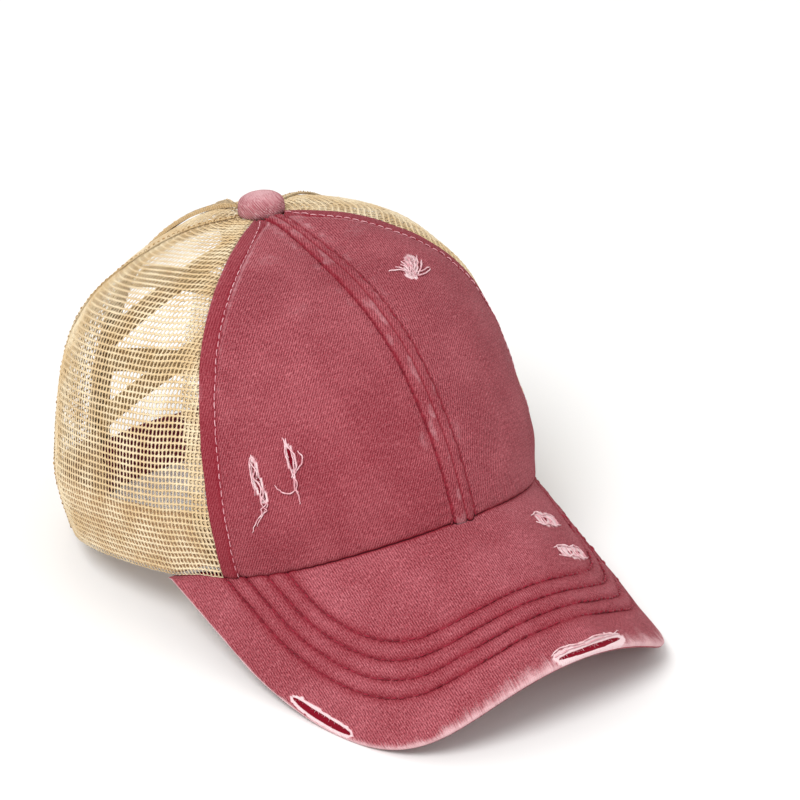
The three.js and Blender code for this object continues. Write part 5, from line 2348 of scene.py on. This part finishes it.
@dataclass
class Closure:
    """The cloth closure below the opening: the outer strap and the tab behind it."""

    shop: Workshop
    height: float = 19
    wall: float = 1.5
    overlap: float = 11
    tuck: float = 8
    tab_wall: float = 1.3
    tab_extra: float = 3
    tab_length: float = 52
    tab_pull: float = 3.5
    clip: float = 5.0

    def back_angle(self, left: np.ndarray) -> np.ndarray:
        """Angle for a distance to the left of the middle of the back."""
        form = self.shop.form
        return math.pi - np.sign(left) * form.angle_at_side(np.abs(left), np.zeros_like(left), Column.BACK)

    def strap_point(self, left: np.ndarray, station: np.ndarray, depth: np.ndarray | float) -> np.ndarray:
        """A point of the outer strap at a depth below its outer face."""
        form = self.shop.form
        half = form.opening_half_width
        proud = -(2 * form.gap + 1.2 + self.wall)
        cross = smoothstep(left, -half + 2, half - 2)
        return form.point(self.back_angle(left), station, lerp(proud, form.wall + form.gap, cross) + depth)

    def strap_grid(self, u: np.ndarray, v: np.ndarray) -> np.ndarray:
        """Distance left of the middle for shares along and up, with the free end's lower corner clipped."""
        form = self.shop.form
        start = form.opening_half_width + self.tuck
        end = -(form.opening_half_width + self.overlap)
        cut = self.clip * np.clip(1 - v / 0.34, 0, 1)
        return lerp(start, end + cut, u)

    def build(self) -> None:
        """Makes the strap with its topstitching, and the tab."""
        self.outer_strap()
        self.tab()

    def relief(self, flat: np.ndarray, points: np.ndarray, edge: np.ndarray, seed: int) -> np.ndarray:
        """Stuffing, stitch groove and rounded edge of a turned strap."""
        rise = 0.28 * smoothstep(edge, 0, 1.8) - rolled(edge, 0.7) - 0.34 * bell(edge - 2.1, 0.6)
        rise += 0.18 * ripple(points, 24, seed) + 0.08 * ripple(points, 8, seed + 1)
        return rise + 0.1 * wave(flat[..., 0], 3.4) * bell(edge - 2.1, 1.4)

    def edge_marks(self, edge: np.ndarray, points: np.ndarray, seed: int) -> dict[str, np.ndarray]:
        """Wear on the edges and shade on the stitch line."""
        worn = 0.85 * wear_band(edge, 0.9) + 0.3 * smoothstep(ripple(points, 16, seed), 0.4, 1.8)
        return {"worn": worn, "stitched": 0.8 * bell(edge - 2.1, 0.55)}

    def outer_strap(self) -> None:
        """Makes the outer strap and its topstitching."""
        shop, form = self.shop, self.shop.form
        u = spread(120, (0.0, 0.003, 0.007, 0.013))[None, :]
        v = spread(38, (0.0, 0.018, 0.045, 0.08))[:, None]
        station = v * form.station_at(self.height)
        left = self.strap_grid(u, v)
        base = self.strap_point(left, station + 0 * left, 0.0)
        flat = flat_cut(base)
        up = flat[..., 1]
        edge = np.minimum(np.minimum(up, up[-1:] - up), flat[:, -1:, 0] - flat[..., 0])
        rise = self.relief(flat, base, edge, 91)
        outer = form.in_frame(self.strap_point(left, station + 0 * left, -rise))
        inner = form.in_frame(self.strap_point(left, station + 0 * left, self.wall - rolled(edge, 0.6)))
        marks = self.edge_marks(edge, base, 93)
        strap = Layer(outer, inner, flat, marks).build("closure_strap_cloth", shop.finishes.closure)
        shop.ride(strap, "dark_twill", "closure_strap")
        low, high = 2.1 / self.height, 1 - 2.1 / self.height
        ends = np.linspace(0.12, 0.972, 70)
        run_u = np.concatenate([ends, np.full(14, 0.972), ends[::-1]])
        run_v = np.concatenate([np.full(70, high), np.linspace(high, low, 16)[1:-1], np.full(70, low)])
        place = self.strap_grid(run_u, run_v)
        row = run_v * form.station_at(self.height)
        path = self.strap_point(place, row, -0.02)
        out = path - self.strap_point(place, row, 1.0)
        shop.sew(
            "closure_strap_stitches", [(form.in_frame(path), form.lean_back(out))],
            shop.finishes.rose_thread, "dark_twill", 2.6, StitchKind.SMALL,
        )

    def tab(self) -> None:
        """Makes the tab behind the strap."""
        shop, form = self.shop, self.shop.form
        u = spread(64, (0.0, 0.004, 0.01, 0.02))[None, :]
        v = spread(26, (0.0, 0.018, 0.045, 0.08))[:, None]
        start = -(form.opening_half_width + self.tuck)
        left = lerp(start, start + self.tab_length, u) + 0 * v
        station = v * form.station_at(self.height + self.tab_extra) + 0 * u
        inward = self.tab_pull * smoothstep(u, 0.1, 0.8)
        angle = self.back_angle(left)
        depth = form.wall + form.gap + inward
        base = form.point(angle, station, depth)
        flat = flat_cut(base)
        up = flat[..., 1]
        edge = np.minimum(np.minimum(up, up[-1:] - up), flat[:, -1:, 0] - flat[..., 0])
        rise = self.relief(flat, base, edge, 97)
        outer = form.laid(angle, station, depth - rise)
        inner = form.laid(angle, station, depth + self.tab_wall - rolled(edge, 0.5))
        marks = self.edge_marks(edge, base, 99)
        tab = Layer(outer, inner, flat, marks).build("closure_tab_cloth", shop.finishes.closure)
        shop.ride(tab, "dark_twill", "closure_tab")


@dataclass
class LeatherPatch:
    """The bare leather patch on the left back net."""

    shop: Workshop
    width: float = 28
    height: float = 17
    wall: float = 1.2
    from_tape: float = 17
    above_rim: float = 2.5

    def build(self) -> None:
        """Makes the patch."""
        shop, form = self.shop, self.shop.form
        u = spread(56, (0.0, 0.006, 0.016, 0.03))[None, :]
        v = spread(34, (0.0, 0.01, 0.026, 0.05))[:, None]
        station = lerp(form.station_at(self.above_rim), form.station_at(self.above_rim + self.height), v)
        edge = form.opening_edge(station, form.tape_width + self.from_tape)
        angle = edge - form.angle_for(u * self.width, edge, station)
        base = form.surface(angle, station + 0 * u)
        flat = flat_cut(base)
        up, across = flat[..., 1], flat[..., 0] - flat[:, :1, 0]
        rim = np.minimum(np.minimum(up, up[-1:] - up), np.minimum(across, across[:, -1:] - across))
        rise = 0.12 * ripple(base, 15, 111) - rolled(rim, 0.55)
        outer = form.laid(angle, station, -form.gap - self.wall - rise)
        inner = form.laid(angle, station, -form.gap + 0 * u)
        patch = Layer(outer, inner, flat, {"worn": wear_band(rim, 0.9)}).build(
            "leather_patch_face", shop.finishes.leather
        )
        shop.ride(patch, "patch_leather", "leather_patch")


@dataclass
class Studio:
    """Floor, light and camera."""

    azimuth: float = math.radians(-34.913)
    elevation: float = math.radians(27.777)
    distance: float = 1.5
    focal_pixels: float = 3836.5
    frame_pixels: float = 800
    target_pixel: tuple[float, float] = (276.99, 350.53)
    target: tuple[float, float, float] = (0.0, 0.055832, 0.0772)
    sensor: float = 36.0
    floor_reach: float = 6.0
    floor_height: float = -0.0002
    floor_colour: tuple[float, ...] = (0.86, 0.855, 0.85, 1)
    sky_colour: tuple[float, ...] = (1, 0.995, 0.985, 1)
    sky_strength: float = 0.85
    light_aim: tuple[float, float, float] = (0, 0, 0.05)

    def camera(self) -> None:
        """Puts the camera at the photograph's place, aimed without any shift."""
        level = math.cos(self.elevation)
        sideways, backwards = math.sin(self.azimuth) * level, -math.cos(self.azimuth) * level
        back = Vector((sideways, backwards, math.sin(self.elevation)))
        right = Vector((math.cos(self.azimuth), math.sin(self.azimuth), 0.0))
        up = back.cross(right)
        place = Vector(self.target) + back * self.distance
        half = self.frame_pixels / 2
        aim = -back * self.focal_pixels
        aim += right * (half - self.target_pixel[0]) - up * (half - self.target_pixel[1])
        data = bpy.data.cameras.new("camera")
        data.sensor_width = self.sensor
        data.lens = self.sensor * aim.length / self.frame_pixels
        data.clip_start, data.clip_end = 0.05, 20.0
        made = bpy.data.objects.new("camera", data)
        made.location = place
        made.rotation_mode = "QUATERNION"
        made.rotation_quaternion = aim.to_track_quat("-Z", "Y")
        bpy.context.scene.collection.objects.link(made)
        bpy.context.scene.camera = made

    def light(self, name: str, place: tuple[float, float, float], size: float, power: float) -> None:
        """Adds one soft light that faces the cap.

        Args:
            name: its name.
            place: where it hangs, in metres.
            size: its width in metres.
            power: in watts.
        """
        data = bpy.data.lights.new(name, "AREA")
        data.shape, data.size, data.energy = "DISK", size, power
        made = bpy.data.objects.new(name, data)
        made.location = place
        made.rotation_mode = "QUATERNION"
        made.rotation_quaternion = (Vector(self.light_aim) - Vector(place)).to_track_quat("-Z", "Y")
        bpy.context.scene.collection.objects.link(made)

    def build(self) -> None:
        """Makes the whole studio."""
        self.camera()
        mesh = bpy.data.meshes.new("floor")
        reach, signs = self.floor_reach, ((-1, -1), (1, -1), (1, 1), (-1, 1))
        mesh.from_pydata([(x * reach, y * reach, self.floor_height) for x, y in signs], [], [(0, 1, 2, 3)])
        floor = bpy.data.objects.new("floor", mesh)
        bpy.context.scene.collection.objects.link(floor)
        shader = plain_material("pale_floor")[1]
        shader.inputs["Base Color"].default_value = self.floor_colour
        shader.inputs["Roughness"].default_value = 0.9
        shader.inputs["Specular IOR Level"].default_value = 0.0
        mesh.materials.append(bpy.data.materials["pale_floor"])
        world = bpy.data.worlds.new("studio")
        world.use_nodes = True
        sky = world.node_tree.nodes["Background"].inputs
        sky["Color"].default_value = self.sky_colour
        sky["Strength"].default_value = self.sky_strength
        bpy.context.scene.world = world
        self.light("key_light", (-1.3, -0.7, 1.9), 1.1, 38)
        self.light("fill_light", (1.2, -1.8, 1.3), 1.6, 5)
        bpy.context.scene.view_settings.view_transform = "Standard"


# Torn places and their loose threads, in millimetres of each piece's flat cut. On a front
# panel across grows from the panel's middle to the side seam, and up from the rim.
PANEL_TEARS = {
    Hand.LEFT: (Tear(((-6.5, 96.0), (-2.0, 99.6), (3.6, 103.4)), 0.5, 2.6, 0.25),),
    Hand.RIGHT: (
        Tear(((26.9, 47.0), (27.0, 41.7), (26.5, 36.5), (25.5, 30.2)), 0.95, 0.9),
        Tear(((12.6, 48.6), (12.1, 43.0), (12.0, 38.0)), 0.95, 0.7),
    ),
}
PANEL_THREADS = {
    Hand.LEFT: (
        ((-12.2, 101.8, 0.5), (-8.9, 100.4, 0.9), (-6.6, 98.0, 0.4)),
        ((-7.6, 102.4, 0.4), (-6.8, 100.4, 0.8), (-6.4, 97.4, 0.4)),
        ((-4.2, 102.8, 0.3), (-5.4, 99.8, 0.8), (-6.6, 96.8, 0.4)),
        ((-0.6, 104.3, 0.3), (-3.3, 99.9, 0.9), (-5.8, 96.6, 0.4)),
        ((3.4, 104.8, 0.3), (-1.6, 100.0, 1.0), (-5.3, 95.7, 0.4)),
        ((6.9, 103.4, 0.3), (0.2, 98.8, 1.0), (-5.9, 94.9, 0.3)),
        ((6.2, 101.0, 0.3), (1.9, 98.1, 0.8), (-3.7, 94.9, 0.4)),
        ((5.9, 96.6, 0.4), (0.9, 96.0, 0.8), (-2.8, 96.3, 0.4)),
        ((5.2, 95.5, 0.4), (-1.4, 94.4, 0.8), (-5.1, 95.0, 0.4)),
        ((4.4, 103.4, 0.3), (-0.7, 99.4, 1.1), (-5.0, 96.2, 0.4)),
        ((1.7, 104.6, 0.3), (-1.3, 101.2, 0.9), (-4.0, 97.6, 0.4)),
        ((5.9, 99.8, 0.3), (0.3, 97.2, 0.9), (-3.7, 95.5, 0.4)),
        ((0.4, 105.0, 0.3), (-2.2, 101.9, 0.8), (-4.9, 98.3, 0.4)),
        ((-2.6, 104.0, 0.3), (-4.1, 101.0, 0.7), (-5.9, 98.0, 0.4)),
    ),
    Hand.RIGHT: (
        ((26.7, 48.6, 0.2), (27.9, 45.0, 0.6), (28.2, 38.8, 0.7), (28.6, 33.6, 0.3)),
        (
            (26.7, 48.2, 0.2), (26.3, 44.0, 0.7), (27.4, 40.0, 0.9),
            (25.9, 36.6, 0.9), (26.6, 33.0, 0.9), (25.0, 29.6, 0.8),
        ),
        (
            (27.6, 45.6, 0.3), (26.0, 42.0, 0.8), (26.9, 38.2, 1.0),
            (25.3, 34.4, 0.9), (26.4, 30.6, 1.0), (26.1, 28.6, 0.9),
        ),
        ((25.0, 29.6, 0.8), (26.8, 28.2, 1.1), (27.4, 26.6, 0.8), (30.0, 24.4, 0.6), (33.2, 19.6, 0.2)),
        ((26.1, 28.6, 0.9), (25.4, 27.4, 0.9), (28.0, 25.3, 0.7), (30.6, 21.8, 0.2)),
        ((24.9, 33.6, 0.3), (25.9, 31.2, 0.9), (24.6, 28.8, 0.8), (26.6, 26.8, 0.7)),
        ((13.8, 51.6, 0.2), (12.9, 49.4, 0.6), (12.4, 47.2, 0.5)),
        (
            (12.4, 51.0, 0.2), (12.2, 48.0, 0.6), (10.9, 45.8, 0.9),
            (10.2, 43.4, 0.9), (10.4, 40.2, 0.9), (11.6, 37.8, 0.7),
        ),
        (
            (9.2, 45.4, 0.3), (7.7, 43.6, 0.8), (8.1, 41.2, 1.0),
            (9.2, 39.8, 0.9), (11.2, 38.2, 0.9), (13.6, 36.2, 0.5),
        ),
        ((13.3, 49.6, 0.3), (13.5, 45.0, 0.6), (13.1, 40.6, 0.7), (12.6, 36.0, 0.8), (13.2, 31.6, 0.6)),
        ((11.4, 46.6, 0.3), (11.2, 42.0, 0.7), (12.0, 37.2, 0.9), (12.9, 33.6, 0.9), (12.8, 31.4, 0.7)),
        ((13.2, 31.6, 0.6), (16.2, 31.2, 0.8), (18.7, 32.9, 0.7), (20.4, 35.6, 0.2)),
        ((12.8, 31.8, 0.7), (12.2, 28.9, 0.7), (12.5, 25.8, 0.2)),
        ((12.4, 36.6, 0.8), (11.6, 34.0, 1.0), (12.6, 31.6, 0.9), (12.1, 30.2, 0.6)),
    ),
}
BRIM_TEARS = (
    Tear(((-5.5, 67.8), (4.0, 68.4), (15.0, 68.3), (26.0, 66.9)), 1.35, 2.9),
    Tear(((-94.0, 14.5), (-91.8, 23.0), (-88.6, 32.0), (-84.8, 41.5)), 1.5, 1.1),
    Tear(((36.5, 5.2), (41.0, 4.4), (47.5, 3.9)), 0.8, 3.3, 0.4),
    Tear(((34.0, 22.3), (40.0, 22.7), (47.5, 21.8)), 0.8, 2.9, 0.4),
)
BRIM_THREADS = (
    *(((x, 7.6, 0.2), (x + 0.9, 4.9, 0.6), (x - 0.4, 2.4, 0.2)) for x in (35.5, 38.0, 41.4, 43.6, 46.8)),
    *(((x, 25.2, 0.2), (x - 0.8, 22.5, 0.6), (x + 0.5, 19.8, 0.2)) for x in (31.6, 34.4, 37.6, 41.8, 44.2, 47.6)),
    ((32.0, 6.6, 0.2), (35.0, 8.4, 0.5), (39.0, 7.4, 0.6), (43.5, 8.0, 0.4), (50.0, 6.4, 0.2)),
    ((32.0, 3.4, 0.2), (36.0, 1.8, 0.6), (41.0, 2.4, 0.4), (45.5, 1.0, 0.6), (50.5, 2.2, 0.2)),
    ((29.0, 24.4, 0.2), (33.5, 25.6, 0.5), (38.0, 24.8, 0.6), (43.5, 25.6, 0.4), (50.0, 24.0, 0.2)),
    ((29.5, 20.6, 0.2), (34.0, 19.4, 0.6), (39.0, 20.2, 0.4), (44.0, 19.2, 0.6), (49.5, 20.0, 0.2)),
    ((-7.5, 65.4, 0.2), (-2.0, 64.2, 0.7), (6.0, 65.4, 0.5), (14.0, 64.6, 0.8), (22.0, 65.0, 0.5), (28.0, 63.6, 0.2)),
    ((-6.6, 66.6, 0.2), (0.0, 66.0, 0.6), (8.0, 66.5, 0.5), (16.0, 66.1, 0.7), (27.0, 65.0, 0.2)),
)


def build_cap(shop: Workshop) -> None:
    """Builds every sub-assembly in order.

    Args:
        shop: the forms, finishes and trees.
    """
    form = shop.form
    for hand in Hand:
        FrontPanel(shop, hand, tears=PANEL_TEARS[hand], threads=PANEL_THREADS[hand]).build()
        NetSeam(shop, hand).build()
        NetPanel(shop, hand, "side", form.front_seam_angle, form.back_seam, seed=3).build()
        NetPanel(shop, hand, "back", form.back_seam, form.back_net_edge, fold_last=0.0, seed=5).build()
        OpeningTape(shop, hand).build()
    CentreSeam(shop).build()
    CrownButton(shop).build()
    Brim(shop, tears=BRIM_TEARS).build()
    Sweatband(shop).build()
    ElasticStrap(shop, "elastic_upper_outer", 0.27, 0.52, 0).build()
    ElasticStrap(shop, "elastic_upper_inner", 0.54, 0.24, 1).build()
    ElasticStrap(shop, "elastic_lower_outer", 0.63, 0.87, 0).build()
    ElasticStrap(shop, "elastic_lower_inner", 0.91, 0.60, 1).build()
    Closure(shop).build()
    LeatherPatch(shop).build()


def main() -> None:
    """Builds the dressed cap and its studio."""
    logging.basicConfig(level=logging.INFO, format="%(name)s: %(message)s")
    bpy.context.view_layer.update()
    Studio().build()
    shop = Workshop()
    build_cap(shop)
    shop.clear()


if __name__ == "__main__":
    main()
